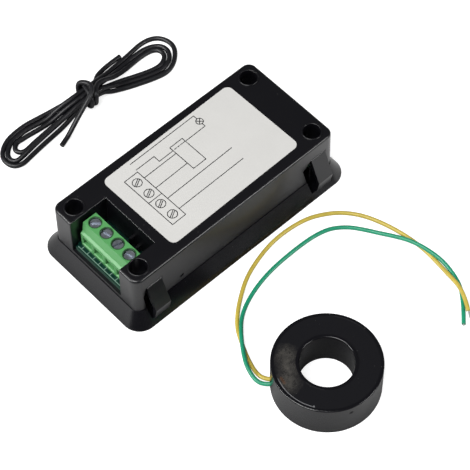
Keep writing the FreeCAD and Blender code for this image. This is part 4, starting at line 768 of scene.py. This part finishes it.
def lay_cord(name, route, diameter, material):
    """A cord as one smooth open spline through the space of its route's points."""
    curve = bpy.data.curves.new(name, "CURVE")
    curve.dimensions = "3D"
    curve.bevel_depth = diameter / 2
    curve.bevel_resolution = 7
    curve.use_fill_caps = True
    spline = curve.splines.new("NURBS")
    spline.points.add(len(route) - 1)
    for point, place in zip(spline.points, route):
        point.co = (*place, 1)
    spline.order_u = 3
    spline.use_endpoint_u = True
    spline.resolution_u = 10
    curve.materials.append(material)
    cord = bpy.data.objects.new(name, curve)
    bpy.context.collection.objects.link(cord)
    return cord


def bare_strands(name, foot, way, reach, width):
    """Seven fine tinned wires laid round each other, standing out of a cut cord."""
    fine = width / 3
    bpy.ops.object.select_all(action="DESELECT")
    rings = []
    for number in range(7):
        turn = math.radians(60 * number)
        out = fine if number else 0.0
        bpy.ops.mesh.primitive_circle_add(vertices=12, radius=fine * 0.49,
                                          location=(out * math.cos(turn), out * math.sin(turn), 0.0))
        rings.append(bpy.context.object)
    for ring in rings:
        ring.select_set(True)
    bpy.ops.object.join()
    wires = bpy.context.object
    bpy.ops.object.transform_apply(location=True, rotation=True, scale=True)
    screw = wires.modifiers.new("lay", "SCREW")
    screw.axis = "Z"
    screw.angle = STRAND_LAY * reach
    screw.screw_offset = reach
    screw.steps = screw.render_steps = 20
    screw.use_smooth_shade = True
    bpy.ops.object.modifier_apply(modifier=screw.name)
    bpy.ops.object.mode_set(mode="EDIT")
    bpy.ops.mesh.select_all(action="SELECT")
    bpy.ops.mesh.fill_holes(sides=0)
    bpy.ops.mesh.select_all(action="SELECT")
    bpy.ops.mesh.normals_make_consistent(inside=False)
    bpy.ops.object.mode_set(mode="OBJECT")
    wires.rotation_mode = "QUATERNION"
    wires.rotation_quaternion = Vector(way).to_track_quat("Z", "Y")
    wires.location = foot
    bpy.ops.object.transform_apply(location=True, rotation=True, scale=True)
    bpy.ops.object.shade_smooth_by_angle(angle=math.radians(40))
    wires.name = wires.data.name = name
    tinned = bpy.data.materials.get("tinned_wire") or worked_metal("tinned_wire", TIN, 0.24)
    wires.data.materials.append(tinned)
    return wires


def onward(route):
    """The way that a route points in at its last point."""
    return (Vector(route[-1]) - Vector(route[-2])).normalized()


class METER_OT_finishes(bpy.types.Operator):
    """Give each moulded, metal, printed and potted part its finish"""
    bl_idname = "meter.finishes"
    bl_label = "Part finishes"

    def execute(self, context):
        finishes = build_finishes(context.scene.meter)
        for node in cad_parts:
            if kind_of(node) in FINISHES:
                finish_node(node, finishes[FINISHES[kind_of(node)]])
            elif not node.startswith("lead_"):
                raise RuntimeError(f"{node} has no finish")
        return {"FINISHED"}


class METER_OT_leads(bpy.types.Operator):
    """Lay the yellow and the green lead of the current transformer"""
    bl_idname = "meter.leads"
    bl_label = "Transformer leads"

    def execute(self, context):
        settings = context.scene.meter_leads
        for (name, node, route, length, slot, reach), colour in zip(LEADS, (settings.yellow, settings.green)):
            cord = lay_cord(name, route, settings.lead_diameter, cord_finish(slot, tuple(colour), 0.34))
            tip = bare_strands(name + "_strands", route[-1], onward(route), reach, LEAD_CORE)
            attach(tip, "current_transformer")
            if node == "lead_yellow":
                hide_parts("lead_tip")
            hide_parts(node)
            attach(cord, "current_transformer")
        return {"FINISHED"}


class METER_OT_spare_lead(bpy.types.Operator):
    """Wind and tie the spare lead that lies behind the meter"""
    bl_idname = "meter.spare_lead"
    bl_label = "Spare lead"

    def execute(self, context):
        settings = context.scene.meter_leads
        route = hank_route()
        cord = lay_cord("spare_lead_hank", route, settings.spare_diameter,
                        cord_finish("black_insulation", tuple(settings.black), 0.38))
        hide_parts("lead_hank")
        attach(cord, "spare_lead")
        return {"FINISHED"}


# Stage

# what glossy parts mirror of the table, as pairs of a distance in metres and the share left there:
# to the sides of the middle of the set, and out from the middle of the meter
GLINT_MIDDLE = -0.017
GLINT_NEAR, GLINT_FAR = (0.017, 0.06), (0.075, 0.66)
TABLE_NEAR, TABLE_FAR = (0.10, 1.0), (0.40, 0.12)
CONTACT_REACH = 0.014
TABLE_GLOW = 0.82


def floor_finish(colour):
    """A pale table top, white to the camera; what glossy parts mirror of it is darker close to them."""
    material = bpy.data.materials.new("table_white")
    material.use_nodes = True
    made = Tree(material.node_tree)
    shader = material.node_tree.nodes["Principled BSDF"]
    shader.inputs["Roughness"].default_value = 0.9
    shader.inputs["Specular IOR Level"].default_value = 0.0
    path = made.add("LightPath")
    # painted contact shade and fade: in glossy rays the table is darker close to the parts and far from the
    # meter
    near = made.add("AmbientOcclusion", {"Distance": CONTACT_REACH}, samples=8)
    position = made.add("NewGeometry").outputs["Position"]
    reach = made.vector("LENGTH", position).outputs["Value"]
    falloff = made.between(reach, TABLE_NEAR[0], TABLE_FAR[0], TABLE_NEAR[1], TABLE_FAR[1])
    open_share = made.maths("MULTIPLY", made.maths("POWER", near.outputs["AO"], 1.2), falloff)
    shade = made.add("Mix", {"Factor": path.outputs["Is Glossy Ray"], "A": 1.0, "B": open_share})
    tone = made.add("Mix", data_type="RGBA", blend_type="MULTIPLY")
    made.feed(tone.inputs["Factor"], 1.0)
    made.feed(tone.inputs["A"], rgba(colour))
    made.feed(tone.inputs["B"], shade.outputs[0])
    made.feed(shader.inputs["Base Color"], tone.outputs["Result"])
    seen = made.maths("ADD", path.outputs["Is Camera Ray"], path.outputs["Is Transmission Ray"])
    seen = made.maths("MULTIPLY", seen, TABLE_GLOW)
    # painted glint: in glossy rays the table also glows, more strongly away from the middle of the set
    across = made.add("SeparateXYZ", {"Vector": position}).outputs["X"]
    aside = made.maths("ABSOLUTE", made.maths("SUBTRACT", across, GLINT_MIDDLE))
    glint = made.between(aside, GLINT_NEAR[0], GLINT_FAR[0], GLINT_NEAR[1], GLINT_FAR[1])
    glint = made.maths("MULTIPLY", made.maths("MULTIPLY", path.outputs["Is Glossy Ray"], glint), open_share)
    shader.inputs["Emission Color"].default_value = (1, 1, 1, 1)
    made.feed(shader.inputs["Emission Strength"], made.maths("ADD", seen, glint))
    return material


def studio_world():
    """A dim room with a pale horizon, and a white backdrop where the camera looks past the floor."""
    world = bpy.data.worlds.new("studio")
    world.use_nodes = True
    made = Tree(world.node_tree)
    back = world.node_tree.nodes["Background"]
    toward = made.add("SeparateXYZ", {"Vector": made.add("TexCoord").outputs["Generated"]})
    height = made.between(toward.outputs["Z"], 0.0, 0.45, 0.06, 0.08)
    path = made.add("LightPath")
    seen = made.maths("ADD", path.outputs["Is Camera Ray"], path.outputs["Is Transmission Ray"], clamp=True)
    made.feed(back.inputs["Strength"], made.add("Mix", {"Factor": seen, "A": height, "B": 1.0}).outputs[0])
    back.inputs["Color"].default_value = (1, 1, 1, 1)
    return world


# name, direction from the meter, distance, width, height, power
LAMPS = [
    ("near_softbox", (0.37, -0.84, 0.44), 1.2, 0.5, 0.20, 5.4),
    ("end_softbox", (-0.84, 0.41, 0.43), 1.2, 0.5, 0.16, 7.5),
    ("top_softbox", (-0.45, -0.05, 0.90), 1.3, 0.8, 0.8, 16.0),
]

FRAME_PIXELS, FOCAL_PIXELS, SENSOR_WIDTH = 470.0, 2069.8, 36.0
CAMERA_PLACE = (-0.22951, -0.27153, 0.52725)
CAMERA_RIGHT = (0.73379, -0.67933, -0.00775)
CAMERA_FORWARD = (0.36763, 0.40665, -0.83635)


def set_lamp(name, direction, distance, width, height, power):
    """A softbox that looks at the meter."""
    data = bpy.data.lights.new(name, "AREA")
    data.shape = "RECTANGLE"
    data.size = width
    data.size_y = height
    data.energy = power
    lamp = bpy.data.objects.new(name, data)
    bpy.context.collection.objects.link(lamp)
    toward = Vector(direction).normalized()
    lamp.location = toward * distance
    lamp.rotation_euler = toward.to_track_quat("Z", "Y").to_euler()


def set_camera():
    """The camera, above and in front of the set."""
    data = bpy.data.cameras.new("camera")
    data.sensor_width = SENSOR_WIDTH
    data.lens = FOCAL_PIXELS * SENSOR_WIDTH / FRAME_PIXELS
    data.clip_start = 0.01
    camera = bpy.data.objects.new("camera", data)
    bpy.context.collection.objects.link(camera)
    right = Vector(CAMERA_RIGHT).normalized()
    forward = Vector(CAMERA_FORWARD).normalized()
    turn = Matrix((right, right.cross(forward), -forward)).transposed()
    camera.matrix_world = Matrix.Translation(CAMERA_PLACE) @ turn.to_4x4()
    return camera


class METER_OT_stage(bpy.types.Operator):
    """Set the floor, the lamps, the world and the camera"""
    bl_idname = "meter.stage"
    bl_label = "Floor, lamps and camera"

    def execute(self, context):
        scene = context.scene
        settings = scene.meter_stage
        scene.view_settings.view_transform = "Standard"
        bpy.ops.mesh.primitive_plane_add(size=2 * settings.floor_reach, location=(0, 0, 0))
        floor = context.object
        floor.name = "floor"
        floor.data.materials.append(floor_finish(tuple(settings.floor_colour)))
        scene.world = studio_world()
        for lamp in LAMPS:
            set_lamp(*lamp)
        scene.camera = set_camera()
        return {"FINISHED"}


class METER_PT_panel(bpy.types.Panel):
    """The meter's pieces, in the order that they are made"""
    bl_idname = "METER_PT_panel"
    bl_label = "Power Meter"
    bl_space_type = "VIEW_3D"
    bl_region_type = "UI"
    bl_category = "Power Meter"

    def draw(self, context):
        layout = self.layout
        for settings in (context.scene.meter, context.scene.meter_leads, context.scene.meter_stage):
            for name in settings.__annotations__:
                layout.prop(settings, name)
        for operator in OPERATORS:
            layout.operator(operator.bl_idname)


OPERATORS = (METER_OT_stage, METER_OT_finishes, METER_OT_leads, METER_OT_spare_lead)
CLASSES = (MeterSettings, LeadSettings, StageSettings, *OPERATORS, METER_PT_panel)


def register():
    for cls in CLASSES:
        bpy.utils.register_class(cls)
    bpy.types.Scene.meter = PointerProperty(type=MeterSettings)
    bpy.types.Scene.meter_leads = PointerProperty(type=LeadSettings)
    bpy.types.Scene.meter_stage = PointerProperty(type=StageSettings)


def unregister():
    del bpy.types.Scene.meter_stage
    del bpy.types.Scene.meter_leads
    del bpy.types.Scene.meter
    for cls in reversed(CLASSES):
        bpy.utils.unregister_class(cls)


def main():
    register()
    build_effects()
    bpy.ops.meter.stage()
    bpy.ops.meter.finishes()
    bpy.ops.meter.leads()
    bpy.ops.meter.spare_lead()


if __name__ == "__main__":
    main()
